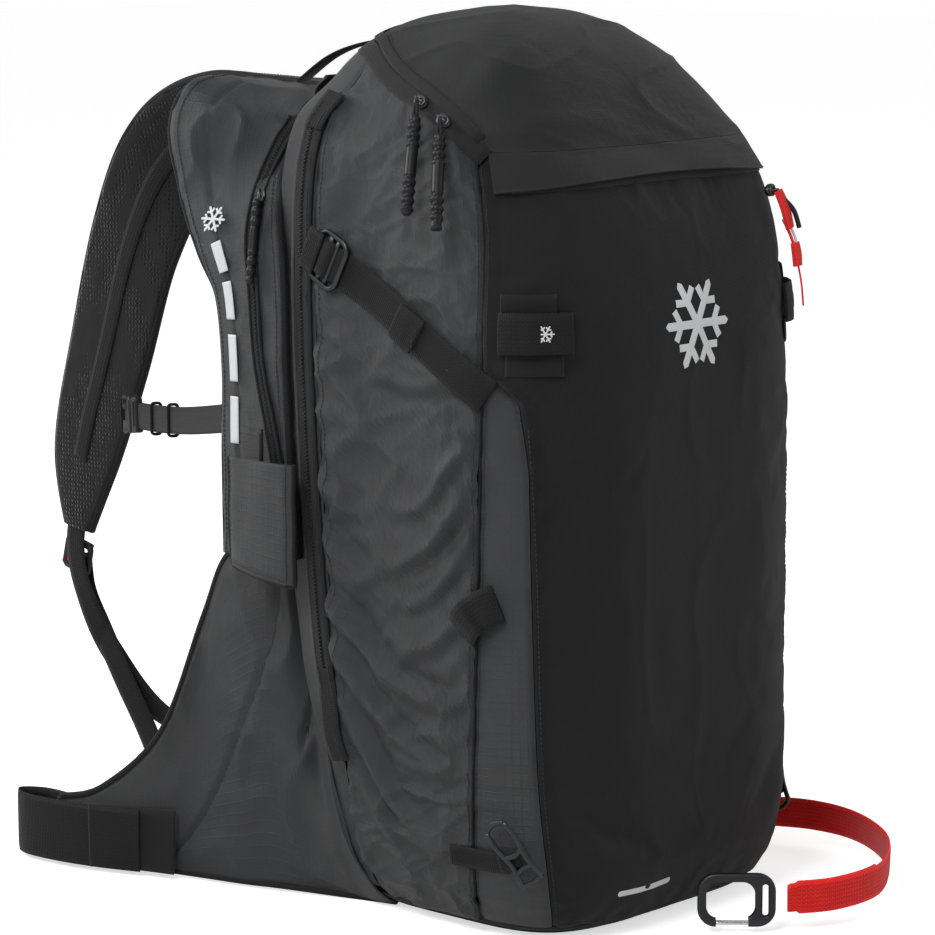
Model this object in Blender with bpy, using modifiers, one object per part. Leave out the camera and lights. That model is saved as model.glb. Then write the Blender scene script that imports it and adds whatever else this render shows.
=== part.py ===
"""Avalanche airbag backpack of the 35 litre class, with its airbag system, harness and fittings.

Metres, +Z up. The origin is the centre of the flat base. The wearer's back is on the +Y side, the
outer front panel faces -Y and the wearer's left is on the -X side. Each moving piece hangs from an
empty that stands on its joint and whose local Z is the joint's axis.
"""

import math

import bmesh
import bpy
import numpy as np
from mathutils import Matrix, Vector

# Cross-sections of the packed body, base to crown: height, half width, front, back.
SECTIONS = (
    (0.000, 0.105, -0.100, 0.086),
    (0.012, 0.124, -0.122, 0.098),
    (0.050, 0.140, -0.133, 0.106),
    (0.120, 0.148, -0.132, 0.112),
    (0.250, 0.151, -0.132, 0.128),
    (0.380, 0.151, -0.131, 0.138),
    (0.460, 0.148, -0.122, 0.140),
    (0.515, 0.140, -0.101, 0.137),
    (0.556, 0.121, -0.070, 0.127),
    (0.588, 0.092, -0.038, 0.105),
    (0.608, 0.050, -0.004, 0.075),
    (0.615, 0.000, 0.030, 0.030),
)
FRONT_POWER = 4.0
BACK_POWER = 4.5

# Seams of the body, as (turn, rise): turn 0 is the front centre line and 1 the back centre line.
SIDE_SEAM = ((0.0, 0.40), (0.18, 0.39), (0.35, 0.345), (0.62, 0.31), (0.70, 0.32))
LID_EDGE = (
    (0.00, 0.660),
    (0.29, 0.660),
    (0.33, 0.700),
    (0.40, 0.738),
    (0.52, 0.775),
    (0.66, 0.825),
    (0.80, 0.850),
    (1.00, 0.860),
)
BASE_RISE = 0.12
FLAP_TOP = 0.652
FLAP_BOTTOM = 0.604
FLAP_TURN = 0.20
BACK_SEAM = 0.735
COLLAR_RISE = 0.705
SEAM_GAP = 0.003

WALL = 0.0025
FIT_GAP = 0.0005
WEBBING = 0.0018
STRAP_PAD = 0.011
PAD_FACE = 0.168
HARDWARE = 0.0032
SIDES = (("left", -1), ("right", 1))

CLOTH_GREY = (0.045, 0.047, 0.052)
CLOTH_BLACK = (0.013, 0.013, 0.014)
WEB_BLACK = (0.010, 0.010, 0.011)
WEB_RED = (0.62, 0.012, 0.010)
METAL = (0.62, 0.63, 0.65)
PLASTIC = (0.018, 0.018, 0.020)
AIRBAG_FABRIC = (0.72, 0.10, 0.02)


def interpolate(table, key):
    """Value at key of a table of (key, value) pairs."""
    keys, values = zip(*table)
    return float(np.interp(key, keys, values))


def spline(knots, share):
    """Point at share, 0 to 1, of a smooth curve through evenly spaced knots."""
    last = len(knots) - 1
    place = min(max(share, 0.0), 1.0) * last
    index = min(int(place), last - 1)
    t = place - index
    steps = (index - 1, index, index + 1, index + 2)
    a, b, c, d = (np.array(knots[max(0, min(last, step))], float) for step in steps)
    curve = 2 * b + (c - a) * t + (2 * a - 5 * b + 4 * c - d) * t**2 + (3 * b - a - 3 * c + d) * t**3
    return curve / 2


def skin(turn, rise):
    """Point on the body's outer surface."""
    height, half_width, front, back = spline(SECTIONS, rise)
    angle = math.pi * turn
    sine, cosine = math.sin(angle), math.cos(angle)
    power = FRONT_POWER if cosine > 0 else BACK_POWER
    reach = (abs(sine) ** power + abs(cosine) ** power) ** (-1 / power)
    middle = (front + back) / 2
    return Vector((-half_width * reach * sine, middle - (back - front) / 2 * reach * cosine, height))


def skin_normal(turn, rise):
    """Outward unit normal of the body's surface."""
    step = 0.004
    low = max(rise - step, 0.0)
    high = min(rise + step, 0.985)
    around = skin(turn + step, rise) - skin(turn - step, rise)
    upward = skin(turn, high) - skin(turn, low)
    return upward.cross(around).normalized()


def on_skin(turn, rise, lift):
    """Point at lift outside the body's surface."""
    if lift == 0.0:
        return skin(turn, rise)
    return skin(turn, rise) + skin_normal(turn, rise) * lift


def side_seam(rise):
    return interpolate(SIDE_SEAM, rise)


def lid_edge(turn):
    return interpolate(LID_EDGE, abs(turn))


def finish(obj, colour, roughness=0.75, metallic=0.0):
    """Gives the object its own material and moves it to the backpack's collection."""
    material = bpy.data.materials.new(obj.name)
    material.use_nodes = True
    shader = material.node_tree.nodes["Principled BSDF"]
    shader.inputs["Base Color"].default_value = (*colour, 1.0)
    shader.inputs["Roughness"].default_value = roughness
    shader.inputs["Metallic"].default_value = metallic
    obj.data.materials.append(material)
    material.diffuse_color = (*colour, 1.0)
    for held in list(obj.users_collection):
        held.objects.unlink(obj)
    bpy.data.collections["avalanche_airbag_backpack"].objects.link(obj)
    return obj


def object_from(name, bm, colour, roughness=0.75, metallic=0.0):
    mesh = bpy.data.meshes.new(name)
    bm.to_mesh(mesh)
    bm.free()
    return finish(bpy.data.objects.new(name, mesh), colour, roughness, metallic)


def solidify(obj, thickness, offset):
    shell = obj.modifiers.new("Thickness", "SOLIDIFY")
    shell.thickness = thickness
    shell.offset = offset
    shell.use_even_offset = False


def bevel(obj, width, segments=2):
    edge = obj.modifiers.new("Edges", "BEVEL")
    edge.width = width
    edge.segments = segments
    edge.limit_method = "ANGLE"


def smooth(obj, angle=math.radians(35)):
    obj.data.shade_smooth()
    obj.data.set_sharp_from_angle(angle=angle)


def sheet(name, point, cells, thickness, offset, colour):
    """Shell whose middle surface is point(u, v), u and v in 0 to 1; u by v faces outward."""
    bm = bmesh.new()
    bmesh.ops.create_grid(bm, x_segments=cells[0], y_segments=cells[1], size=0.5)
    for vert in bm.verts:
        vert.co = point(vert.co.x + 0.5, vert.co.y + 0.5)
    bmesh.ops.remove_doubles(bm, verts=bm.verts, dist=1e-5)
    bmesh.ops.reverse_faces(bm, faces=bm.faces)
    obj = object_from(name, bm, colour)
    solidify(obj, thickness, offset)
    smooth(obj)
    return obj


def blend(start, end, share):
    return start + (end - start) * share


def patch(name, turns, rises, cells, thickness, lift, colour):
    """Raised shell over a plain rectangle of the body, standing lift above it."""

    def point(u, v):
        return on_skin(blend(*turns, u), blend(*rises, v), lift)

    return sheet(name, point, cells, thickness, 1.0, colour)


def band(name, stations, thickness, colour, steps):
    """Strap through stations of (centre, outward normal, width)."""
    centres = [station[0] for station in stations]
    normals = [station[1] for station in stations]
    widths = [(station[2],) for station in stations]

    def point(u, v):
        nudge = 0.01
        ahead = Vector(spline(centres, min(u + nudge, 1.0)))
        behind = Vector(spline(centres, max(u - nudge, 0.0)))
        across = Vector(spline(normals, u)).cross(ahead - behind).normalized()
        width = float(spline(widths, u)[0])
        return Vector(spline(centres, u)) + across * width * (v - 0.5)

    return sheet(name, point, (steps, 1), thickness, 0.0, colour)


def skin_band(name, places, width, thickness, lift, colour, steps):
    """Webbing that lies on the body through places of (turn, rise)."""
    stations = []
    for index in range(9):
        turn, rise = spline(places, index / 8)
        stations.append((on_skin(turn, rise, lift), skin_normal(turn, rise), width))
    return band(name, stations, thickness, colour, steps)


def box(name, size, centre, colour, edge=0.0, roughness=0.6, metallic=0.0):
    bm = bmesh.new()
    bmesh.ops.create_cube(bm, size=1.0)
    bmesh.ops.scale(bm, vec=size, verts=bm.verts)
    obj = object_from(name, bm, colour, roughness, metallic)
    obj.location = centre
    if edge:
        bevel(obj, edge)
    return obj


def cylinder(name, radius, depth, centre, colour, sides=24, roughness=0.5, metallic=0.0):
    bm = bmesh.new()
    bmesh.ops.create_cone(
        bm, cap_ends=True, segments=sides, radius1=radius, radius2=radius, depth=depth
    )
    obj = object_from(name, bm, colour, roughness, metallic)
    obj.location = centre
    smooth(obj)
    return obj


def curve_object(name, colour, roughness, metallic, dimensions):
    curve = bpy.data.curves.new(name, "CURVE")
    curve.dimensions = dimensions
    obj = bpy.data.objects.new(name, curve)
    return finish(obj, colour, roughness, metallic)


def add_spline(curve, points, cyclic):
    line = curve.splines.new("POLY")
    line.points.add(len(points) - 1)
    for held, point in zip(line.points, points):
        held.co = (*point, 1.0)
    line.use_cyclic_u = cyclic


def tube(name, points, radius, colour, roughness=0.5, metallic=0.0, resolution=2):
    """Round bar or cable along points."""
    obj = curve_object(name, colour, roughness, metallic, "3D")
    add_spline(obj.data, points, False)
    obj.data.bevel_depth = radius
    obj.data.bevel_resolution = resolution
    obj.data.use_fill_caps = True
    return obj


def plate(name, outlines, thickness, colour, roughness=0.5, metallic=0.0):
    """Flat plate in its local XY plane; outlines after the first are holes."""
    obj = curve_object(name, colour, roughness, metallic, "2D")
    obj.data.fill_mode = "BOTH"
    obj.data.extrude = thickness / 2
    for outline in outlines:
        add_spline(obj.data, [(x, y, 0.0) for x, y in outline], True)
    return obj


def rounded_rectangle(width, height, radius, centre=(0.0, 0.0), arc_steps=3):
    """Counter-clockwise outline."""
    points = []
    for quarter in range(4):
        sign_x = 1 if quarter in (0, 3) else -1
        sign_y = 1 if quarter in (0, 1) else -1
        for step in range(arc_steps + 1):
            angle = math.pi / 2 * (quarter + step / arc_steps)
            x = centre[0] + sign_x * (width / 2 - radius) + radius * math.cos(angle)
            y = centre[1] + sign_y * (height / 2 - radius) + radius * math.sin(angle)
            points.append((x, y))
    return points


def circle(radius, steps, centre=(0.0, 0.0)):
    angles = [2 * math.pi * step / steps for step in range(steps)]
    return [(centre[0] + radius * math.cos(a), centre[1] + radius * math.sin(a)) for a in angles]


def face_to(obj, centre, normal, along):
    """Stands a flat object at centre with its local Z on normal and its local Y near along."""
    z_axis = Vector(normal).normalized()
    x_axis = Vector(along).cross(z_axis).normalized()
    y_axis = z_axis.cross(x_axis)
    turn = Matrix((x_axis, y_axis, z_axis)).transposed()
    obj.matrix_world = Matrix.Translation(Vector(centre)) @ turn.to_4x4()
    return obj


def joint(name, position, axis, parent=None):
    """Empty that stands for a moving body, its local Z on the joint's axis."""
    empty = bpy.data.objects.new("joint_" + name, None)
    bpy.data.collections["avalanche_airbag_backpack"].objects.link(empty)
    empty.empty_display_size = 0.02
    axis = Vector(axis).normalized()
    turn = Vector((0.0, 0.0, 1.0)).rotation_difference(axis).to_matrix().to_4x4()
    empty.matrix_world = Matrix.Translation(Vector(position)) @ turn
    if parent:
        hang(parent, empty)
    return empty


def hang(parent, *children):
    """Parents the children without moving them."""
    bpy.context.view_layer.update()
    for child in children:
        world = child.matrix_world.copy()
        child.parent = parent
        child.matrix_parent_inverse = parent.matrix_world.inverted()
        child.matrix_world = world


# ---------------------------------------------------------------- shells of the body


def make_base_panel():
    """Flat sole that turns up into the walls."""
    centre = Vector((0.0, 0.0, 0.0))

    def point(u, v):
        turn = blend(-1.0, 1.0, u)
        if v < 0.5:
            return centre.lerp(skin(turn, 0.0), 2 * v)
        return skin(turn, (2 * v - 1) * (BASE_RISE - 0.008))

    sheet("base_panel", point, (32, 6), WALL, -1.0, CLOTH_BLACK)


def make_front_panel():
    """Black outer panel from the base to under the storm flap."""

    def point(u, v):
        rise = blend(BASE_RISE, LID_EDGE[0][1] - 0.006, v)
        edge = side_seam(rise) - SEAM_GAP
        return skin(blend(-edge, edge, u), rise)

    sheet("front_panel", point, (16, 12), WALL, -1.0, CLOTH_BLACK)


def make_side_panel(side, sign):
    """Grey side from the side seam back to the airbag zip and up to the lid."""

    def point(u, v):
        share = u if sign < 0 else 1 - u
        top = lid_edge(blend(side_seam(0.7) + SEAM_GAP, BACK_SEAM, share)) - 0.008
        rise = blend(BASE_RISE, top, v)
        turn = blend(side_seam(rise) + SEAM_GAP, BACK_SEAM, share)
        return skin(-sign * turn, rise)

    sheet(side + "_side_panel", point, (9, 16), WALL, -1.0, CLOTH_GREY)


def make_back_panel():
    def point(u, v):
        turn = blend(BACK_SEAM + 2 * SEAM_GAP, 2 - BACK_SEAM - 2 * SEAM_GAP, u)
        return skin(turn, blend(BASE_RISE, COLLAR_RISE - 0.006, v))

    sheet("back_panel", point, (8, 12), WALL, -1.0, CLOTH_BLACK)


def make_collar_panel():
    """Slope between the yoke and the main zip."""

    def point(u, v):
        turn = blend(BACK_SEAM + 2 * SEAM_GAP, 2 - BACK_SEAM - 2 * SEAM_GAP, u)
        top = lid_edge(min(turn, 2 - turn)) - 0.008
        return skin(turn, blend(COLLAR_RISE, top, v))

    sheet("collar_panel", point, (10, 4), WALL, -1.0, CLOTH_GREY)


def make_lid():
    """Domed lid that hinges forward along its front hem."""

    def point(u, v):
        turn = blend(-1.0, 1.0, u)
        return skin(turn, blend(lid_edge(turn), 1.0, v))

    lid = sheet("lid_panel", point, (32, 6), WALL, -1.0, CLOTH_BLACK)
    hem = skin(0.0, LID_EDGE[0][1])
    hang(joint("lid", (0.0, hem.y, hem.z - 0.001), (1, 0, 0)), lid)


def make_storm_flap():
    """Hem of the lid that covers the tool pocket zip."""
    turns = (-FLAP_TURN, FLAP_TURN)
    flap = patch(
        "storm_flap", turns, (FLAP_BOTTOM, FLAP_TOP), (12, 2), 0.0018, 0.0018, CLOTH_BLACK
    )
    middle = on_skin(0.0, FLAP_TOP, 0.003)
    corner = on_skin(FLAP_TURN, FLAP_TOP, 0.003)
    hang(joint("storm_flap", (0.0, corner.y, middle.z), (-1, 0, 0)), flap)


def make_tool_pocket_divider():
    """Inner wall between the tool pocket and the main compartment."""

    def point(u, v):
        rise = blend(0.17, 0.60, v)
        edge = 0.24
        outer = skin(blend(-edge, edge, u), rise)
        return outer + Vector((0.0, 0.016 + 0.012 * math.sin(math.pi * v), 0.0))

    sheet("tool_pocket_divider", point, (8, 6), 0.0015, -1.0, CLOTH_BLACK)


# ---------------------------------------------------------------- frame and back


def make_frame():
    """Plastic frame sheet with two aluminium stays behind it."""
    box("frame_sheet", (0.20, 0.0015, 0.40), (0.0, 0.0935, 0.26), PLASTIC, 0.0005)
    for side, sign in SIDES:
        name = side + "_stay"
        box(name, (0.014, 0.003, 0.42), (sign * 0.055, 0.0965, 0.26), METAL, 0.0008, 0.35, 1.0)


def make_back_pads():
    depth = 0.024
    for side, sign in SIDES:
        centre = (sign * 0.052, PAD_FACE - depth / 2, 0.345)
        box(side + "_back_pad", (0.070, depth, 0.27), centre, CLOTH_BLACK, 0.006, 0.9)
    lumbar = 0.044
    box("lumbar_pad", (0.17, lumbar, 0.13), (0.0, PAD_FACE - lumbar / 2, 0.105), CLOTH_BLACK, 0.008, 0.9)


def make_yoke():
    """Panel over the top of the back that the shoulder straps leave from."""

    def point(u, v):
        x = blend(0.100, -0.080, u)
        return Vector((x, 0.1415, blend(0.495, 0.560, v)))

    sheet("yoke_panel", point, (4, 2), 0.0025, 1.0, CLOTH_GREY)


# ---------------------------------------------------------------- airbag system


def make_airbag():
    """Airbag folded into its pocket behind the load."""
    box("airbag_folded", (0.196, 0.050, 0.155), (0.0, 0.060, 0.440), AIRBAG_FABRIC, 0.012, 0.5)


FAN_CENTRE = Vector((0.0, 0.062, 0.285))
FAN_RADIUS = 0.046
FAN_DEPTH = 0.046


def make_fan():
    """Cup-shaped housing, open at the front, with a motor, an impeller and an intake grille."""
    profile = (
        (0.0055, FAN_DEPTH / 2 - 0.0022),
        (FAN_RADIUS - 0.0022, FAN_DEPTH / 2 - 0.0022),
        (FAN_RADIUS - 0.0022, -FAN_DEPTH / 2),
        (FAN_RADIUS, -FAN_DEPTH / 2),
        (FAN_RADIUS, FAN_DEPTH / 2),
        (0.0055, FAN_DEPTH / 2),
    )
    bm = bmesh.new()
    verts = [bm.verts.new((x, 0.0, z)) for x, z in reversed(profile)]
    for index, vert in enumerate(verts):
        bm.edges.new((vert, verts[(index + 1) % len(verts)]))
    housing = object_from("fan_housing", bm, PLASTIC, 0.5)
    turned = housing.modifiers.new("Turned", "SCREW")
    turned.steps = 32
    turned.render_steps = 32
    turned.use_merge_vertices = True
    turned.merge_threshold = 0.0001
    face_to(housing, FAN_CENTRE, (0, 1, 0), (0, 0, 1))

    motor = cylinder("fan_motor", 0.014, 0.018, (0, 0, 0), METAL, 20, 0.35, 0.9)
    face_to(motor, FAN_CENTRE + Vector((0, 0.0112, 0)), (0, 1, 0), (0, 0, 1))

    blades = 9
    outline = []
    for blade in range(blades):
        base = 2 * math.pi * blade / blades
        for radius, turn in ((0.013, 0.0), (0.030, 0.10), (0.040, 0.26), (0.0405, 0.32), (0.030, 0.19), (0.013, 0.16)):
            angle = base + turn
            outline.append((radius * math.cos(angle), radius * math.sin(angle)))
    impeller = plate("fan_impeller", [outline], 0.014, PLASTIC, 0.4)
    face_to(impeller, FAN_CENTRE + Vector((0, -0.0065, 0)), (0, 1, 0), (0, 0, 1))
    hang(joint("fan_impeller", FAN_CENTRE + Vector((0, -0.0065, 0)), (0, 1, 0)), impeller)

    slots = [rounded_rectangle(0.056, 0.005, 0.002, (0.0, (row - 2) * 0.0125), 2) for row in range(5)]
    grille = plate("intake_grille", [circle(FAN_RADIUS, 28), *slots], 0.002, PLASTIC, 0.5)
    face_to(grille, FAN_CENTRE - Vector((0, FAN_DEPTH / 2 + 0.0014, 0)), (0, 1, 0), (0, 0, 1))


def make_outlet():
    """Square duct from the fan to the airbag with a hinged check valve in it."""
    centre = Vector((0.0, 0.066, 0.3465))
    outer = rounded_rectangle(0.034, 0.034, 0.004)
    inner = rounded_rectangle(0.030, 0.030, 0.003)
    plate("outlet_duct", [outer, inner], 0.026, PLASTIC, 0.5).location = centre
    flap = box("check_valve_flap", (0.028, 0.026, 0.0012), centre - Vector((0, 0.0, 0.008)), WEB_BLACK, 0.0, 0.9)
    hang(joint("check_valve_flap", centre + Vector((0, 0.013, -0.008)), (-1, 0, 0)), flap)


def make_electronics():
    """Control unit beside the battery, which slides out towards the zip."""
    unit_centre = Vector((0.0, 0.062, 0.200))
    box("control_unit", (0.110, 0.030, 0.030), unit_centre, PLASTIC, 0.003, 0.45)
    cap_centre = unit_centre - Vector((0.035, 0.0195, 0))
    cap = cylinder("power_button", 0.008, 0.004, (0, 0, 0), WEB_RED, 20, 0.4)
    face_to(cap, cap_centre, (0, -1, 0), (0, 0, 1))
    hang(joint("power_button", cap_centre, (0, 1, 0)), cap)
    cell_centre = Vector((0.0, 0.060, 0.125))
    battery = box("battery_pack", (0.130, 0.036, 0.085), cell_centre, PLASTIC, 0.004, 0.45)
    hang(joint("battery_pack", cell_centre, (0, -1, 0)), battery)


def make_burst_zip():
    """Zip along the left back edge that the airbag bursts open."""
    patch("burst_zip", (0.664, 0.695), (0.29, 0.685), (2, 14), 0.0016, FIT_GAP, WEB_BLACK)


# ---------------------------------------------------------------- shoulder harness

LEFT_STRAP = (
    ((-0.040, 0.184, 0.549), (0.0, -0.1, 1.0), 0.074),
    ((-0.083, 0.185, 0.551), (-0.2, -0.2, 0.9), 0.080),
    ((-0.116, 0.182, 0.536), (-0.6, -0.5, 0.6), 0.092),
    ((-0.135, 0.167, 0.501), (-0.8, -0.3, 0.5), 0.080),
    ((-0.150, 0.148, 0.467), (-0.9, -0.1, 0.3), 0.072),
    ((-0.155, 0.132, 0.428), (-1.0, 0.05, 0.1), 0.068),
    ((-0.155, 0.128, 0.370), (-1.0, 0.1, 0.0), 0.066),
    ((-0.155, 0.127, 0.310), (-1.0, 0.05, 0.0), 0.067),
    ((-0.155, 0.124, 0.242), (-1.0, 0.0, 0.0), 0.069),
)
RIGHT_STRAP = (
    ((0.055, 0.158, 0.548), (0.0, -0.1, 1.0), 0.078),
    ((0.058, 0.215, 0.550), (0.0, 0.0, 1.0), 0.078),
    ((0.057, 0.285, 0.546), (0.2, 0.1, 1.0), 0.078),
    ((0.051, 0.360, 0.528), (0.6, 0.4, 0.6), 0.078),
    ((0.042, 0.419, 0.489), (0.9, 0.3, 0.2), 0.080),
    ((0.035, 0.454, 0.425), (1.0, 0.1, 0.0), 0.084),
    ((0.031, 0.482, 0.335), (1.0, 0.0, 0.0), 0.084),
    ((0.030, 0.511, 0.250), (1.0, 0.0, 0.0), 0.068),
    ((0.030, 0.521, 0.190), (1.0, 0.0, 0.0), 0.028),
)
STRAP_PIVOT = (0.148, 0.548)


def ladder_lock(name, centre, normal, along, width=0.030, metal=False):
    """Three-bar adjuster."""
    slot = width - 0.006
    holes = [rounded_rectangle(slot, 0.006, 0.002, (0.0, shift), 2) for shift in (-0.006, 0.006)]
    outline = rounded_rectangle(width, 0.026, 0.005)
    colour = METAL if metal else PLASTIC
    lock = plate(name, [outline, *holes], HARDWARE, colour, 0.45, 1.0 if metal else 0.0)
    return face_to(lock, centre, normal, along)


def make_left_strap():
    """Left strap with the trigger handle behind a lifting cover on its outer face."""
    strap = band("left_shoulder_strap", LEFT_STRAP, STRAP_PAD, CLOTH_GREY, 22)
    body = joint("left_shoulder_strap", (LEFT_STRAP[0][0][0], *STRAP_PIVOT), (1, 0, 0))
    lock = ladder_lock("left_ladder_lock", (-0.1464, 0.146, 0.262), (1, 0, 0), (0, 0, 1))
    hang(body, strap, lock)

    handle_centre = Vector((-0.1668, 0.112, 0.272))
    handle = box("trigger_handle", (0.010, 0.022, 0.060), handle_centre, WEB_RED, 0.003, 0.5)
    trigger = joint("trigger_handle", handle_centre, (0, 0, -1), body)
    hang(trigger, handle)

    cover = box("trigger_cover", (0.0022, 0.062, 0.074), (-0.1736, 0.108, 0.2745), CLOTH_GREY, 0.0008)
    cover_body = joint("trigger_cover", (-0.1736, 0.108, 0.3115), (0, 1, 0), body)
    hang(cover_body, cover)

    slider_centre = Vector((-0.1490, 0.1265, 0.4890))
    along = Vector((-0.28, -0.42, -0.86))
    slider = box("trigger_zip_slider", (0.007, 0.012, 0.004), (0, 0, 0), METAL, 0.001, 0.4, 0.9)
    face_to(slider, slider_centre, (-0.85, -0.2, 0.4), along)
    hang(joint("trigger_zip_slider", slider_centre, along, body), slider)


def make_right_strap():
    """Right strap standing out from the pack, with its lower webbing and the sternum strap."""
    strap = band("right_shoulder_strap", RIGHT_STRAP, STRAP_PAD, CLOTH_GREY, 26)
    body = joint("right_shoulder_strap", (RIGHT_STRAP[0][0][0], *STRAP_PIVOT), (1, 0, 0))
    lock = ladder_lock("right_ladder_lock", (0.030, 0.5235, 0.1665), (1, 0, 0), (0, -0.25, 1))
    stations = (
        ((0.0262, 0.522, 0.176), (1.0, 0.0, 0.0), 0.020),
        ((0.0262, 0.513, 0.140), (1.0, 0.0, 0.0), 0.020),
        ((0.036, 0.492, 0.092), (1.0, 0.4, 0.1), 0.020),
        ((0.050, 0.450, 0.045), (0.9, 0.6, 0.5), 0.020),
        ((0.075, 0.380, 0.022), (0.5, 0.3, 1.0), 0.020),
        ((0.100, 0.290, 0.028), (0.6, 0.2, 0.8), 0.020),
        ((0.114, 0.220, 0.050), (0.9, 0.1, 0.4), 0.020),
    )
    webbing = band("right_lower_webbing", stations, WEBBING, WEB_BLACK, 16)
    hang(body, strap, lock, webbing)

    sternum = joint("sternum_strap", (0.0205, 0.462, 0.289), (0, 0, 1), body)
    across = Vector((-0.146, 0.168, 0.332)) - Vector((0.0205, 0.462, 0.289))
    normal = Vector((0, 0, 1)).cross(across)
    start = Vector((0.0205, 0.462, 0.289)) + across * 0.02
    ends = [(start + across * share, normal, 0.020) for share in (0.175, 0.97)]
    webbing = band("sternum_webbing", ends, WEBBING, WEB_BLACK, 3)
    buckle = box("sternum_buckle", (0.030, 0.009, 0.045), (0, 0, 0), PLASTIC, 0.003, 0.45)
    face_to(buckle, start + across * 0.09, across, normal)
    hang(sternum, webbing, buckle)


# ---------------------------------------------------------------- hip belt and leg loop

WING_UPPER = (
    (-0.136, 0.124, 0.216),
    (-0.138, 0.160, 0.214),
    (-0.143, 0.196, 0.184),
    (-0.160, 0.222, 0.104),
    (-0.176, 0.268, 0.058),
    (-0.186, 0.302, 0.047),
)
WING_LOWER = (
    (-0.136, 0.124, 0.002),
    (-0.146, 0.155, 0.002),
    (-0.154, 0.189, 0.002),
    (-0.163, 0.225, 0.002),
    (-0.176, 0.268, 0.002),
    (-0.186, 0.302, 0.002),
)


def mirrored(point, sign):
    """The left-hand point as it is, or its mirror image on the right."""
    return Vector((-sign * point[0], point[1], point[2]))


def make_hip_belt():
    """Padded wing each side, with a webbing loop at its tip and a hook buckle on the right."""
    for side, sign in SIDES:

        def point(u, v, sign=sign):
            share = 1 - u if sign < 0 else u
            lower = Vector(spline(WING_LOWER, share))
            upper = Vector(spline(WING_UPPER, share))
            return mirrored(lower.lerp(upper, v), sign)

        wing = sheet(side + "_hip_wing", point, (12, 5), 0.008, 0.0, CLOTH_GREY)
        body = joint(side + "_hip_wing", (sign * 0.133, 0.118, 0.10), (0, 0, sign))
        loop = (
            ((-0.1830, 0.252, 0.025), (-1.0, -0.2, 0.0), 0.045),
            ((-0.1925, 0.290, 0.025), (-1.0, -0.2, 0.0), 0.045),
            ((-0.1960, 0.326, 0.025), (-1.0, 0.1, 0.0), 0.045),
            ((-0.1860, 0.345, 0.025), (0.0, 1.0, 0.0), 0.045),
            ((-0.1755, 0.328, 0.025), (1.0, 0.2, 0.0), 0.045),
            ((-0.1755, 0.300, 0.025), (1.0, 0.2, 0.0), 0.045),
        )
        stations = [(mirrored(c, sign), mirrored(n, sign), w) for c, n, w in loop]
        webbing = band(side + "_hip_webbing", stations, 0.0022, WEB_BLACK, 22)
        hang(body, wing, webbing)
        if sign > 0:
            hole = rounded_rectangle(0.018, 0.010, 0.003, (0.0, 0.004), 2)
            outline = rounded_rectangle(0.044, 0.030, 0.008)
            hook = plate("hip_buckle_hook", [outline, hole], HARDWARE, METAL, 0.35, 1.0)
            centre = Vector((0.186, 0.3645, 0.025))
            face_to(hook, centre, (1, 0, 0), (0, 1, 0))
            hang(joint("hip_buckle_hook", (0.186, 0.3485, 0.025), (0, 0, 1), body), hook)


CARABINER_CENTRE = Vector((-0.006, -0.176, 0.0215))
CARABINER_ALONG = Vector((0.66, -0.75, 0.0)).normalized()
CARABINER_LENGTH = 0.052
CARABINER_HEIGHT = 0.036


def carabiner_point(along, up):
    return CARABINER_CENTRE + CARABINER_ALONG * along + Vector((0, 0, up))


def make_leg_loop():
    """Red crotch strap that ends in a carabiner."""
    height = 0.0225
    end = carabiner_point(CARABINER_LENGTH / 2 + 0.0085, 0)
    path = (
        (0.138, 0.105),
        (0.160, 0.030),
        (0.186, -0.030),
        (0.206, -0.080),
        (0.198, -0.128),
        (0.160, -0.180),
        (0.100, -0.218),
        (0.050, -0.220),
        (end.x, end.y),
    )
    stations = []
    for index, (x, y) in enumerate(path):
        ahead = path[min(index + 1, len(path) - 1)]
        behind = path[max(index - 1, 0)]
        normal = Vector((ahead[1] - behind[1], behind[0] - ahead[0], 0.0))
        stations.append((Vector((x, y, height)), normal, 0.022))
    webbing = band("leg_loop_webbing", stations, 0.0020, WEB_RED, 28)
    body = joint("leg_loop", (0.138, 0.108, height), (0, 0, 1))
    hang(body, webbing)

    half = CARABINER_LENGTH / 2 - 0.003
    rise = CARABINER_HEIGHT / 2 - 0.003
    corner = 0.011
    points = []
    for centre_x, centre_z, start in (
        (-half + corner, -rise + corner, 270),
        (-half + corner, rise - corner, 180),
        (half - corner, rise - corner, 90),
        (half - corner, -rise + corner, 0),
    ):
        for step in range(5):
            angle = math.radians(start - 90 * step / 4)
            reach = (centre_x + corner * math.cos(angle), centre_z + corner * math.sin(angle))
            points.append(carabiner_point(*reach))
    carabiner = tube("carabiner_body", points, 0.0030, WEB_BLACK, 0.4, 0.6)
    spin = joint("carabiner", carabiner_point(CARABINER_LENGTH / 2 + 0.004, 0), (0, 0, 1), body)
    hang(spin, carabiner)
    hinge = carabiner_point(half - corner - 0.0010, -rise)
    tip = carabiner_point(-half + corner + 0.0010, -rise)
    gate = tube("carabiner_gate", [hinge, tip], 0.0015, METAL, 0.25, 1.0)
    normal = CARABINER_ALONG.cross(Vector((0, 0, 1)))
    hang(joint("carabiner_gate", hinge, -normal, spin), gate)


# ---------------------------------------------------------------- straps and fittings on the body


def make_haul_loop():
    """Webbing handle from the yoke to the back of the lid's zip."""
    stations = (
        ((-0.012, 0.2250, 0.5620), (0.0, 0.6, 0.8), 0.012),
        ((-0.012, 0.1960, 0.5770), (0.0, 0.4, 0.9), 0.012),
        ((-0.012, 0.1620, 0.5890), (0.0, 0.2, 1.0), 0.012),
        ((-0.012, 0.1230, 0.5935), (0.0, -0.1, 1.0), 0.012),
    )
    loop = band("haul_loop", stations, WEBBING, WEB_BLACK, 12)
    hang(joint("haul_loop", (-0.012, 0.1230, 0.5935), (0, 0.102, -0.0315)), loop)


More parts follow.
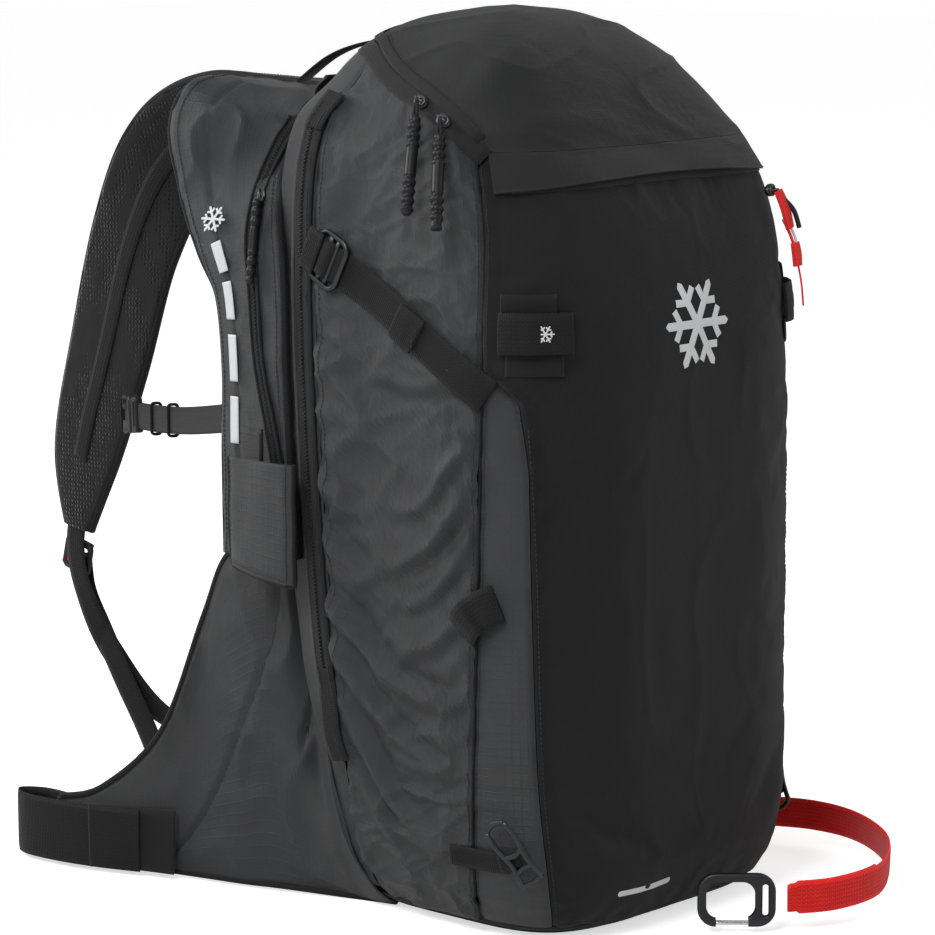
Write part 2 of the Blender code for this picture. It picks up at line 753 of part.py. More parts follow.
def make_compression_strap(side, sign):
    """Diagonal webbing over the side, with its adjuster near the back edge."""
    places = [(-sign * turn, rise) for turn, rise in ((0.640, 0.540), (0.56, 0.516), (0.45, 0.484), (0.335, 0.450))]
    skin_band(side + "_compression_strap", places, 0.025, WEBBING, 0.0024, WEB_BLACK, 12)
    turn, rise = -sign * 0.612, 0.532
    normal = skin_normal(turn, rise)
    centre = on_skin(turn, rise, 0.0078)
    along = skin(-sign * 0.57, 0.519) - skin(-sign * 0.640, 0.540)
    lock = ladder_lock(side + "_compression_buckle", centre, normal, along, 0.032, True)
    rear_bar = centre - along.normalized() * 0.012
    hang(joint(side + "_compression_buckle", rear_bar, along.cross(normal)), lock)


def make_axe_keeper(side, sign):
    turns = sorted((-sign * 0.215, -sign * 0.303))
    patch(side + "_axe_keeper", turns, (0.474, 0.497), (4, 2), 0.0018, 0.0030, WEB_BLACK)


def make_axe_buckle(side, sign):
    """Y-shaped hook that holds the shaft of an ice axe."""
    turn, rise = -sign * 0.305, 0.209
    normal = skin_normal(turn, rise)
    centre = on_skin(turn, rise, 0.0065)
    outline = rounded_rectangle(0.020, 0.046, 0.006)
    holes = [rounded_rectangle(0.012, 0.014, 0.003, (0.0, shift), 2) for shift in (-0.011, 0.009)]
    hook = plate(side + "_axe_buckle", [outline, *holes], HARDWARE, METAL, 0.4, 0.8)
    lean = skin(turn, rise + 0.05) - skin(turn, rise) + Vector((-sign * 0.05, -0.01, 0.0)) * -1
    face_to(hook, centre, normal, lean)
    foot = centre - lean.normalized() * 0.020
    hang(joint(side + "_axe_buckle", foot, lean.cross(normal)), hook)


PULL_SWAY = 0.026  # how far towards the front the cord pulls hang


def zip_slider(name, turn, pull_length, pull_width, drop):
    """Slider just below the lid's edge with a cord pull hanging over the side panel."""
    rise = lid_edge(turn) - 0.018
    normal = skin_normal(turn, rise)
    along = skin(turn + 0.02, lid_edge(turn + 0.02)) - skin(turn - 0.02, lid_edge(turn - 0.02))
    centre = on_skin(turn, rise, 0.0035)
    slider = box(name, (0.007, 0.011, 0.005), (0, 0, 0), METAL, 0.001, 0.35, 0.9)
    face_to(slider, centre, normal, along)
    body = joint(name, centre, along)
    hang(body, slider)
    top = centre + normal * 0.0056
    outward = Vector((normal.x, normal.y, 0.0)).normalized()
    bottom = top + Vector((0, -PULL_SWAY, -pull_length)) + outward * drop
    stations = [(top.lerp(bottom, share), outward, pull_width) for share in (0.0, 1.0)]
    pull = band(name + "_pull", stations, 0.0030, WEB_BLACK, 2)
    hang(joint(name + "_pull", top, Vector((0, 0, -1)).cross(outward), body), pull)


def make_tool_zip():
    """Slider of the front tool pocket with its red pull."""
    place = Vector((0.100, -0.1163, 0.4905))
    slider = box("tool_zip_slider", (0.012, 0.005, 0.007), place, METAL, 0.001, 0.35, 0.9)
    body = joint("tool_zip_slider", place, (-1, 0, 0))
    hang(body, slider)
    stations = (
        (place + Vector((0.002, -0.0045, -0.002)), (0.3, -1, 0), 0.012),
        (place + Vector((0.004, -0.0130, -0.025)), (0.3, -1, 0), 0.012),
        (place + Vector((0.008, -0.0165, -0.050)), (0.3, -1, 0), 0.012),
    )
    pull = band("tool_zip_pull", stations, 0.0026, WEB_RED, 4)
    hang(joint("tool_zip_pull", stations[0][0], (-1, 0, 0), body), pull)


def main():
    for obj in list(bpy.data.objects):
        bpy.data.objects.remove(obj, do_unlink=True)
    collection = bpy.data.collections.new("avalanche_airbag_backpack")
    bpy.context.scene.collection.children.link(collection)

    make_base_panel()
    make_front_panel()
    make_back_panel()
    make_collar_panel()
    make_lid()
    make_storm_flap()
    make_tool_pocket_divider()
    make_frame()
    make_back_pads()
    make_yoke()
    make_airbag()
    make_fan()
    make_outlet()
    make_electronics()
    make_burst_zip()
    make_left_strap()
    make_right_strap()
    make_hip_belt()
    make_leg_loop()
    make_haul_loop()
    make_tool_zip()
    for side, sign in SIDES:
        make_side_panel(side, sign)
        make_compression_strap(side, sign)
        make_axe_keeper(side, sign)
        make_axe_buckle(side, sign)
    zip_slider("rear_zip_slider", 0.412, 0.070, 0.008, 0.040)
    zip_slider("front_zip_slider", 0.358, 0.066, 0.008, 0.038)


main()
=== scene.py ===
"""Looks of an avalanche airbag backpack: fabric, foam, webbing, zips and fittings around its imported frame."""

import math

import bmesh
import bpy
import numpy as np
from mathutils import Matrix, Vector, noise
from mathutils.bvhtree import BVHTree


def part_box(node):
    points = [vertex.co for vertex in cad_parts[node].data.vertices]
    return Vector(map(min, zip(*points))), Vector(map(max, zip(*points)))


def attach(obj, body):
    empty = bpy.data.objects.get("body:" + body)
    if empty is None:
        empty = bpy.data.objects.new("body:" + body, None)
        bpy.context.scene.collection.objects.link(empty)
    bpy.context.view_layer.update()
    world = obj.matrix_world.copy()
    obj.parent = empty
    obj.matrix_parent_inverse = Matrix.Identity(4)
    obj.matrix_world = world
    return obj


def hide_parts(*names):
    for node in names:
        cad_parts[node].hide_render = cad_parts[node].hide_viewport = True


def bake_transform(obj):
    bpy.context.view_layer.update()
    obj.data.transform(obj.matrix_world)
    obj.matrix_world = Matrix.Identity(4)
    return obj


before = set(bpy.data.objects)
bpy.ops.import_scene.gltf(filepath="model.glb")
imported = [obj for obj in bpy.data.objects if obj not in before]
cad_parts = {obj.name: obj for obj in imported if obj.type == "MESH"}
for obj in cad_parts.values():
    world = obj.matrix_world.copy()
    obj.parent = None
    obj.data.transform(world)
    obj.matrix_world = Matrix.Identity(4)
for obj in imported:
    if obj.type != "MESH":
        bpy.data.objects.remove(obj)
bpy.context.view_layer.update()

# Body cross-sections: height, half width, front and back, in metres, at evenly spaced rises.
SECTIONS = (
    (0.000, 0.105, -0.100, 0.086),
    (0.012, 0.124, -0.122, 0.098),
    (0.050, 0.140, -0.133, 0.106),
    (0.120, 0.148, -0.132, 0.112),
    (0.250, 0.151, -0.132, 0.128),
    (0.380, 0.151, -0.131, 0.138),
    (0.460, 0.148, -0.122, 0.140),
    (0.515, 0.140, -0.101, 0.137),
    (0.556, 0.121, -0.070, 0.127),
    (0.588, 0.092, -0.038, 0.105),
    (0.608, 0.050, -0.004, 0.075),
    (0.615, 0.000, 0.030, 0.030),
)
FRONT_POWER = 4.0
BACK_POWER = 4.5

# Seams on the body, as (rise, turn) or (turn, rise); turn is 0 at the front, 1 at the back.
SIDE_SEAM = ((0.0, 0.40), (0.18, 0.39), (0.35, 0.345), (0.62, 0.31), (0.70, 0.32))
GUSSET_SEAM = (
    (0.0, 0.262), (0.12, 0.264), (0.24, 0.266), (0.33, 0.268), (0.41, 0.270), (0.443, 0.282), (0.462, 0.335),
)
REAR_SEAM = ((0.0, 0.625), (0.06, 0.640), (0.20, 0.664), (0.268, 0.660), (0.290, 0.640), (0.72, 0.640))
LID_EDGE = (
    (0.00, 0.660), (0.29, 0.660), (0.33, 0.700), (0.40, 0.738),
    (0.52, 0.775), (0.66, 0.825), (0.80, 0.850), (1.00, 0.860),
)
SEAM_GAP = 0.0006
SOLE_RISE = 0.075
GUSSET_TOP = 0.462
FLAP_HEM = 0.6085
FLAP_TOP = 0.6584
FLAP_TURN = 0.292
LID_LIFT = 0.0014
BURST_TURN = 0.6640
BURST_RISES = (0.285, 0.690)
BACK_TURN = 0.800
COLLAR_RISE = 0.705

CLOTH = 0.0012
WEBBING = 0.0018
STRAP_WIDTH = 0.020
CRISP = math.radians(55)
SIDES = (("left", -1), ("right", 1))


# ---------------------------------------------------------------- numbers


def unit(vectors):
    length = np.linalg.norm(vectors, axis=-1, keepdims=True)
    return np.where(length > 1e-9, vectors / np.maximum(length, 1e-9), (0.0, 0.0, 1.0))


def lerp(start, end, share):
    return start + (end - start) * share


def ease(value):
    value = np.clip(value, 0.0, 1.0)
    return value * value * (3 - 2 * value)


def table(pairs, key):
    keys, values = zip(*pairs)
    return np.interp(key, keys, values)


def spline(knots, share):
    """Points at share, 0 to 1, of a smooth curve through evenly spaced knots."""
    knots = np.asarray(knots, float)
    share = np.asarray(share, float)
    last = len(knots) - 1
    place = np.clip(share, 0.0, 1.0) * last
    index = np.minimum(place.astype(int), last - 1)
    t = (place - index).reshape(share.shape + (1,) * (knots.ndim - 1))
    a, b, c, d = (knots[np.clip(index + step, 0, last)] for step in (-1, 0, 1, 2))
    curve = 2 * b + (c - a) * t + (2 * a - 5 * b + 4 * c - d) * t**2 + (3 * b - a - 3 * c + d) * t**3
    return curve / 2


def even(points, spacing, *follows):
    """Points a spacing apart along a line of points, with any values that follow the line."""
    points = np.asarray(points, float)
    distance = np.concatenate([[0.0], np.cumsum(np.linalg.norm(np.diff(points, axis=0), axis=1))])
    stops = np.linspace(0.0, distance[-1], max(int(round(distance[-1] / spacing)), 1) + 1)
    made = []
    for values in (points, *follows):
        made.append(np.stack([np.interp(stops, distance, column) for column in values.T], axis=1))
    return made if follows else made[0]


def cells(columns, rows):
    """Two grids of shares from 0 to 1, one across and one up."""
    return np.meshgrid(np.linspace(0, 1, columns), np.linspace(0, 1, rows))


def bell(value, width, power=2):
    """1 at value 0, falling to 0 over a few widths."""
    return np.exp(-((value / width) ** power))


def length_of(value, other, power):
    """Length of (value, other) by a power: 2 measures circles, more measures rounded squares."""
    return np.maximum((np.abs(value) ** power + np.abs(other) ** power) ** (1 / power), 1e-6)


def skin(turn, rise):
    """Points of the body's outer surface."""
    turn, rise = np.broadcast_arrays(np.asarray(turn, float), np.asarray(rise, float))
    section = spline(SECTIONS, rise)
    height, half_width, front, back = (section[..., index] for index in range(4))
    sine, cosine = np.sin(np.pi * turn), np.cos(np.pi * turn)
    power = np.where(cosine > 0, FRONT_POWER, BACK_POWER)
    reach = (np.abs(sine) ** power + np.abs(cosine) ** power) ** (-1 / power)
    depth = (front + back) / 2 - (back - front) / 2 * reach * cosine
    return np.stack([-half_width * reach * sine, depth, height], axis=-1)


def skin_normal(turn, rise):
    step = 0.004
    turn, rise = np.asarray(turn, float), np.asarray(rise, float)
    around = skin(turn + step, rise) - skin(turn - step, rise)
    upward = skin(turn, np.minimum(rise + step, 0.985)) - skin(turn, np.maximum(rise - step, 0.0))
    return unit(np.cross(upward, around))


def rise_at(height):
    rises = np.linspace(0.0, 1.0, 200)
    return np.interp(height, spline(SECTIONS, rises)[:, 0], rises)


def side_seam(rise):
    return table(SIDE_SEAM, rise)


def gusset_seam(rise):
    return np.where(rise < GUSSET_TOP, np.minimum(table(GUSSET_SEAM, rise), side_seam(rise)), side_seam(rise))


def rear_seam(rise):
    return table(REAR_SEAM, rise)


def lid_edge(turn):
    return table(LID_EDGE, np.abs(turn))


def ripple(points, size, seed=0.0):
    """Smooth noise of about the given size in metres, from -1 to 1."""
    shape = points.shape[:-1]
    scaled = points.reshape(-1, 3) / size + seed
    return np.array([noise.noise(point) for point in scaled]).reshape(shape)


def creases(points, size, seed, sharpness=7.0):
    """Narrow wandering ridges, from 0 to 1, spaced about size apart."""
    return (1 - np.abs(ripple(points, size, seed))) ** sharpness


def fold(points, normals, places, width, height, valley=0.55):
    """Ridge with a valley on one side along places of (turn, rise)."""
    line = skin(*spline(places, np.linspace(0, 1, 36)).T)
    start, step = line[:-1], np.diff(line, axis=0)
    flat = points.reshape(-1, 3)
    offset = flat[:, None] - start[None]
    share = np.clip((offset * step).sum(-1) / (step**2).sum(-1), 0, 1)
    gap = offset - share[..., None] * step
    distance = np.linalg.norm(gap, axis=-1)
    nearest = distance.argmin(1)
    rows = np.arange(len(flat))
    along = (nearest + share[rows, nearest]) / len(step)
    turned = np.cross(step[nearest], gap[rows, nearest])
    signed = distance[rows, nearest] / width * np.sign((turned * normals.reshape(-1, 3)).sum(-1))
    shape = np.exp(-(signed**2)) - valley * np.exp(-((signed - 1.7) ** 2))
    taper = np.sqrt(np.clip(np.sin(np.pi * np.clip(along, 0.02, 0.98)), 0, 1))
    return (height * taper * shape).reshape(points.shape[:-1])


# ---------------------------------------------------------------- meshes


def grid_faces(rows, columns, wrap=False):
    """Quads of a grid, facing the side where columns run anticlockwise from rows."""
    index = np.arange(rows * columns).reshape(rows, columns)
    if wrap:
        index = np.concatenate([index, index[:, :1]], axis=1)
    low, high = index[:-1], index[1:]
    return np.stack([low[:, :-1], high[:, :-1], high[:, 1:], low[:, 1:]], axis=-1).reshape(-1, 4)


def linked(name, data):
    """Object of some data, in the scene."""
    obj = bpy.data.objects.new(name, data)
    bpy.context.scene.collection.objects.link(obj)
    return obj


def bake(obj):
    """Applies an object's modifiers to its mesh."""
    bpy.context.view_layer.update()
    made = bpy.data.meshes.new_from_object(obj.evaluated_get(bpy.context.evaluated_depsgraph_get()))
    made.name = obj.name
    obj.modifiers.clear()
    obj.data = made
    return made


def mesh_object(name, points, faces, uvs=None):
    """Smooth-shaded mesh; uvs are in metres, one for each point."""
    mesh = bpy.data.meshes.new(name)
    faces = [[int(i) for i in face] for face in faces]
    mesh.from_pydata([tuple(map(float, point)) for point in points], [], faces)
    if uvs is not None:
        corners = np.zeros(len(mesh.loops), np.int32)
        mesh.loops.foreach_get("vertex_index", corners)
        layer = mesh.uv_layers.new(name="metres")
        layer.data.foreach_set("uv", np.asarray(uvs, np.float32)[corners].ravel())
    mesh.validate()
    mesh.shade_smooth()
    return linked(name, mesh)


def walked(grid, axis):
    """Mean distance in metres along one axis of a grid."""
    steps = np.linalg.norm(np.diff(grid, axis=axis), axis=-1).mean(axis=1 - axis)
    return np.concatenate([[0.0], np.cumsum(steps)])


def grid_uvs(grid):
    columns, rows = np.meshgrid(walked(grid, 1), walked(grid, 0))
    return np.stack([columns, rows], axis=-1).reshape(-1, 2)


def grid_normals(grid):
    return unit(np.cross(np.gradient(grid, axis=0), np.gradient(grid, axis=1)))


def recalculate(obj):
    bm = bmesh.new()
    bm.from_mesh(obj.data)
    bmesh.ops.remove_doubles(bm, verts=bm.verts, dist=2e-6)
    bmesh.ops.recalc_face_normals(bm, faces=bm.faces)
    bm.to_mesh(obj.data)
    bm.free()
    return obj


def ring_mesh(name, rings, cyclic=False):
    """Closed skin over rings[count, corners, 3]."""
    count, corners = rings.shape[:2]
    faces = [list(face) for face in grid_faces(count, corners, wrap=True)]
    if cyclic:
        last = (count - 1) * corners
        for i in range(corners):
            j = (i + 1) % corners
            faces.append([last + i, i, j, last + j])
    else:
        faces.append(list(range(corners)))
        faces.append(list(range(count * corners - 1, (count - 1) * corners - 1, -1)))
    obj = mesh_object(name, rings.reshape(-1, 3), faces, grid_uvs(rings))
    return recalculate(obj)


def rod(name, points, radius, sides=10, cyclic=False, flat=1.0, out=None):
    """Round bar, cord or piping along points; flat below 1 presses it thin along out."""
    points = np.asarray(points, float)
    if cyclic:
        along = unit(np.roll(points, -1, axis=0) - np.roll(points, 1, axis=0))
    else:
        along = unit(np.gradient(points, axis=0))
    if out is None:
        first = np.cross(along[0], (0.3, 0.5, 0.81))
        frames = [unit(first)]
        for direction in along[1:]:
            frames.append(unit(frames[-1] - direction * np.dot(frames[-1], direction)))
        up = np.array(frames)
    else:
        up = unit(np.cross(np.cross(along, out), along))
    across = np.cross(along, up)
    angles = np.linspace(0, 2 * np.pi, sides, endpoint=False)
    radius = np.broadcast_to(radius, len(points))
    rings = []
    for angle in angles:
        rings.append(points + (up * flat * math.sin(angle) + across * math.cos(angle)) * radius[:, None])
    return ring_mesh(name, np.stack(rings, axis=1), cyclic)


def strip(stations, steps, lanes):
    """Middle surface of a strap through stations of (centre, outward normal, width)."""
    share = np.linspace(0, 1, steps + 1)
    centres = spline([station[0] for station in stations], share)
    outs = spline([station[1] for station in stations], share)
    widths = spline([[station[2]] for station in stations], share)
    along = np.gradient(centres, axis=0)
    across = unit(np.cross(outs, along))
    lane = np.linspace(-0.5, 0.5, lanes + 1)[None, :, None]
    grid = centres[:, None] + across[:, None] * widths[:, None] * lane
    return grid, np.repeat(unit(np.cross(along, across))[:, None], lanes + 1, axis=1)


def padded(name, grid, normals, thickness, relief=0.0, back_relief=0.0, rim=0.35, power=3.0):
    """Closed pad around a middle surface; rim is the share of its thickness left at the long edges."""
    lanes = grid.shape[1]
    lane = np.abs(np.linspace(-1, 1, lanes))[None, :]
    crown = rim + (1 - rim) * np.sqrt(np.clip(1 - lane**power, 0, 1))
    half = np.broadcast_to(thickness, grid.shape[:2]) / 2 * crown
    outer = grid + normals * (half + relief)[..., None]
    inner = grid - normals * (half + back_relief)[..., None]
    return ring_mesh(name, np.concatenate([outer, inner[:, ::-1]], axis=1))


def webbing(name, stations, thickness=WEBBING, steps=40, lanes=4):
    grid, normals = strip(stations, steps, lanes)
    return padded(name, grid, normals, thickness, rim=0.55, power=8.0)


def scatter(name, template, faces, origins, along, out):
    """Copies of a small template, its X along the line and its Z outward, as one mesh."""
    along, out = unit(along), unit(out)
    across = unit(np.cross(out, along))
    points = origins[:, None] + sum(
        template[None, :, axis, None] * base[:, None] for axis, base in enumerate((along, across, out))
    )
    count = len(template)
    shifted = [[index + count * copy for index in face] for copy in range(len(origins)) for face in faces]
    return mesh_object(name, points.reshape(-1, 3), shifted, points.reshape(-1, 3)[:, :2])


def capsule(length, radius, sides=6):
    """Template of a stitch, flattened and rounded at its ends."""
    stops = ((-0.5, 0.35), (-0.32, 1.0), (0.32, 1.0), (0.5, 0.35))
    angles = np.linspace(0, 2 * np.pi, sides, endpoint=False)
    points = []
    for place, size in stops:
        for angle in angles:
            points.append((place * length, math.cos(angle) * radius * size, math.sin(angle) * radius * size))
    faces = [list(face)[::-1] for face in grid_faces(len(stops), sides, wrap=True)]
    faces.append(list(range(sides)))
    faces.append(list(range(len(points) - 1, len(points) - sides - 1, -1)))
    return np.array(points), faces


def block(size_x, size_y, size_z, shift_y=0.0, edge=0.25):
    """Template of a small block with a chamfered outer face."""
    low = [(x, y, -0.5) for x, y in ((-0.5, -0.5), (0.5, -0.5), (0.5, 0.5), (-0.5, 0.5))]
    top = [(x * (1 - edge), y * (1 - edge / 2), 0.5) for x, y, _ in low]
    middle = [(x, y, 0.15) for x, y, _ in low]
    points = np.array(low + middle + top) * (size_x, size_y, size_z) + (0.0, shift_y, 0.0)
    faces = [[3, 2, 1, 0], [8, 9, 10, 11]]
    for base in (0, 4):
        for i in range(4):
            j = (i + 1) % 4
            faces.append([base + i, base + j, base + 4 + j, base + 4 + i])
    return points, faces


def rounded_rectangle(width, height, radius, centre=(0.0, 0.0), steps=5):
    points = []
    for quarter in range(4):
        sign_x = 1 if quarter in (0, 3) else -1
        sign_y = 1 if quarter in (0, 1) else -1
        for step in range(steps + 1):
            angle = math.pi / 2 * (quarter + step / steps)
            x = centre[0] + sign_x * (width / 2 - radius) + radius * math.cos(angle)
            y = centre[1] + sign_y * (height / 2 - radius) + radius * math.sin(angle)
            points.append((x, y))
    return points


def plate(name, outlines, thickness, edge=0.0004):
    """Flat plate with rounded edges in its local XY plane; outlines after the first are holes."""
    curve = bpy.data.curves.new(name, "CURVE")
    curve.dimensions = "2D"
    curve.fill_mode = "BOTH"
    curve.extrude = thickness / 2 - edge
    curve.bevel_depth = edge
    curve.bevel_resolution = 2
    curve.offset = -edge
    for outline in outlines:
        line = curve.splines.new("POLY")
        line.points.add(len(outline) - 1)
        for held, point in zip(line.points, outline):
            held.co = (point[0], point[1], 0.0, 1.0)
        line.use_cyclic_u = True
    drawn = linked(name + "_curve", curve)
    bpy.context.view_layer.update()
    mesh = bpy.data.meshes.new_from_object(drawn.evaluated_get(bpy.context.evaluated_depsgraph_get()))
    mesh.name = name
    bpy.data.objects.remove(drawn)
    obj = linked(name, mesh)
    recalculate(obj)
    mesh.shade_smooth()
    mesh.set_sharp_from_angle(angle=math.radians(40))
    return obj


def stand(obj, centre, out, along):
    """Places a flat object at centre with its local Z on out and its local Y near along."""
    z_axis = Vector(out).normalized()
    x_axis = Vector(along).cross(z_axis).normalized()
    turn = Matrix((x_axis, z_axis.cross(x_axis), z_axis)).transposed().to_4x4()
    obj.data.transform(Matrix.Translation(Vector(centre)) @ turn)
    return obj


def join(name, objects):
    """One object from several, keeping their meshes as they are."""
    bm = bmesh.new()
    for obj in objects:
        bm.from_mesh(obj.data)
    mesh = bpy.data.meshes.new(name)
    bm.to_mesh(mesh)
    bm.free()
    for obj in objects:
        bpy.data.objects.remove(obj)
    return linked(name, mesh)


def bounds(node):
    """Low and high corners of a CAD node's box."""
    return tuple(np.array(corner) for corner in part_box(node))


def middle(node):
    low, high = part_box(node)
    return np.array((low + high) / 2)


# ---------------------------------------------------------------- materials


class Look:
    """A node-built material; its methods add nodes and hand back their output sockets."""

    def __init__(self, name, colour, roughness, metallic=0.0, sheen=0.0, coat=0.0, shine=0.22):
        self.material = bpy.data.materials.new(name)
        self.material.use_nodes = True
        self.tree = self.material.node_tree
        self.shader = self.tree.nodes["Principled BSDF"]
        self.colour = colour
        self.shader.inputs["Base Color"].default_value = (*colour, 1.0)
        self.shader.inputs["Roughness"].default_value = roughness
        self.shader.inputs["Metallic"].default_value = metallic
        self.shader.inputs["Sheen Weight"].default_value = sheen
        self.shader.inputs["Sheen Roughness"].default_value = 0.35
        self.shader.inputs["Specular IOR Level"].default_value = shine if metallic == 0.0 else 0.5
        self.shader.inputs["Coat Weight"].default_value = coat
        self.material.diffuse_color = (*colour, 1.0)

    def add(self, kind, inputs, **settings):
        node = self.tree.nodes.new("ShaderNode" + kind)
        for key, value in settings.items():
            setattr(node, key, value)
        for key, value in inputs.items():
            self.put(node.inputs[key], value)
        return node

    def put(self, socket, value):
        if isinstance(value, bpy.types.NodeSocket):
            self.tree.links.new(value, socket)
        else:
            socket.default_value = value

    def math(self, operation, *values):
        return self.add("Math", dict(enumerate(values)), operation=operation).outputs[0]

    def uv(self):
        split = self.add("SeparateXYZ", {0: self.add("UVMap", {}, uv_map="metres").outputs[0]})
        return split.outputs[0], split.outputs[1]

    def object_noise(self, size, detail=2.0):
        place = self.add("TexCoord", {}).outputs["Object"]
        return self.add("TexNoise", {"Vector": place, "Scale": 1 / size, "Detail": detail}).outputs["Fac"]

    def spread(self, value, low, high):
        """Value from 0 to 1 mapped to low to high."""
        return self.add("MapRange", {"Value": value, "To Min": low, "To Max": high}).outputs[0]

    def lines(self, place, pitch, width):
        """1 on lines a pitch apart, falling to 0 over the width."""
        gap = self.math("PINGPONG", place, pitch / 2)
        fall = self.add("MapRange", {"Value": gap, "From Max": width, "To Min": 1.0, "To Max": 0.0})
        return fall.outputs[0]

    def ribs(self, place, pitch):
        return self.math("SINE", self.math("MULTIPLY", place, 2 * math.pi / pitch))

    def brighten(self, factor):
        """Multiplies the base colour by a factor socket."""
        tint = self.add("VectorMath", {0: (*self.colour,), "Scale": factor}, operation="SCALE")
        self.put(self.shader.inputs["Base Color"], tint.outputs[0])

    def wear(self, base, amount):
        """Base factor raised on convex edges, where cloth and paint rub."""
        edge = self.add("NewGeometry", {}).outputs["Pointiness"]
        lift = self.add("MapRange", {"Value": edge, "From Min": 0.52, "From Max": 0.62, "To Max": amount})
        return self.math("ADD", base, lift.outputs[0])

    def bump(self, millimetres, strength=1.0):
        node = self.add("Bump", {"Height": millimetres, "Strength": strength, "Distance": 0.001})
        self.put(self.shader.inputs["Normal"], node.outputs[0])


def woven(
    name, colour, thread, roughness, sheen, grid=0.0, line=0.0, depth=0.12, crumple=0.25, rib=1.0, shine=0.22
):
    """Plain weave, with ripstop lines a grid apart when grid is set."""
    look = Look(name, colour, roughness, sheen=sheen, shine=shine)
    x, y = look.uv()
    warp = look.ribs(x, thread)
    weft = look.ribs(y, thread * rib)
    height = look.math("MULTIPLY", look.math("MULTIPLY", warp, weft), depth)
    tone = look.spread(look.object_noise(0.05, 4.0), 0.86, 1.14)
    tone = look.math("ADD", tone, look.math("MULTIPLY", look.math("MULTIPLY", warp, weft), 0.05))
    if grid:
        net = look.math("MAXIMUM", look.lines(x, grid, grid * 0.10), look.lines(y, grid, grid * 0.10))
        height = look.math("ADD", height, look.math("MULTIPLY", net, line))
        tone = look.math("ADD", tone, look.math("MULTIPLY", net, line * 0.7))
    fine = look.math("MULTIPLY", look.object_noise(0.006, 3.0), crumple)
    look.bump(look.math("ADD", height, fine), 0.9)
    look.brighten(look.wear(tone, 0.5))
    rough = look.spread(look.object_noise(0.03, 3.0), roughness - 0.07, roughness + 0.07)
    look.put(look.shader.inputs["Roughness"], rough)
    return look.material


def web(name, colour, sheen=0.06):
    """Webbing: fine ribs across it and a zigzag chevron weave."""
    look = Look(name, colour, 0.72, sheen=sheen)
    x, y = look.uv()
    across = look.ribs(y, 0.0016)
    zigzag = look.math("MULTIPLY", look.math("PINGPONG", y, 0.0016), 0.8)
    chevron = look.ribs(look.math("ADD", x, zigzag), 0.0028)
    height = look.math("ADD", look.math("MULTIPLY", across, 0.10), look.math("MULTIPLY", chevron, 0.10))
    look.bump(height, 1.0)
    tone = look.spread(look.object_noise(0.02, 4.0), 0.82, 1.18)
    tone = look.math("ADD", tone, look.math("MULTIPLY", chevron, 0.16))
    look.brighten(look.wear(tone, 0.8))
    return look.material


def knitted(name, colour):
    """Spacer mesh: round holes in a staggered net, darkened with painted shade."""
    look = Look(name, colour, 0.9, sheen=0.35)
    place = look.add("TexCoord", {}).outputs["Object"]
    net = look.add("TexVoronoi", {"Vector": place, "Scale": 1 / 0.0034, "Randomness": 0.25})
    distance = net.outputs["Distance"]
    hole = look.add("MapRange", {"Value": distance, "From Min": 0.18, "From Max": 0.42}).outputs[0]
    look.bump(look.math("MULTIPLY", hole, 0.5), 1.0)
    mottle = look.spread(look.object_noise(0.03, 3.0), 0.85, 1.15)
    # Holes pressed in and darkened: painted shade in their depth, times a random mottle of tone.
    shade = look.math("MULTIPLY", look.spread(hole, 0.35, 1.15), mottle)
    look.brighten(look.wear(shade, 0.4))
    return look.material


def moulded(name, colour, roughness=0.42, coat=0.0):
    """Plastic with a fine spark-eroded grain and rubbed edges."""
    look = Look(name, colour, roughness, coat=coat)
    look.bump(look.math("MULTIPLY", look.object_noise(0.0009, 2.0), 0.06), 0.8)
    look.brighten(look.wear(look.spread(look.object_noise(0.012, 4.0), 0.88, 1.12), 1.2))
    rough = look.spread(look.object_noise(0.006, 3.0), roughness - 0.08, roughness + 0.10)
    look.put(look.shader.inputs["Roughness"], rough)
    return look.material


def metal(name, colour, roughness, brushed=True):
    """Brushed or tumbled metal with fine scratches."""
    look = Look(name, colour, roughness, metallic=1.0)
    place = look.add("TexCoord", {}).outputs["Object"]
    stretch = look.add("Mapping", {"Vector": place, "Scale": (60, 60, 2400) if brushed else (900, 900, 900)})
    grain = look.add("TexNoise", {"Vector": stretch.outputs[0], "Scale": 1.0, "Detail": 3.0}).outputs["Fac"]
    look.bump(look.math("MULTIPLY", grain, 0.02), 0.7)
    look.put(look.shader.inputs["Roughness"], look.spread(grain, roughness - 0.08, roughness + 0.14))
    look.brighten(look.wear(look.spread(look.object_noise(0.01, 4.0), 0.85, 1.1), 0.9))
    return look.material


def printed(name, colour):
    """Reflective print: tiny glass beads over light ink."""
    look = Look(name, colour, 0.38, coat=0.2)
    place = look.add("TexCoord", {}).outputs["Object"]
    beads = look.add("TexVoronoi", {"Vector": place, "Scale": 1 / 0.0006}).outputs["Distance"]
    look.bump(look.math("MULTIPLY", beads, 0.03), 0.6)
    look.brighten(look.spread(look.object_noise(0.008, 3.0), 0.9, 1.08))
    return look.material


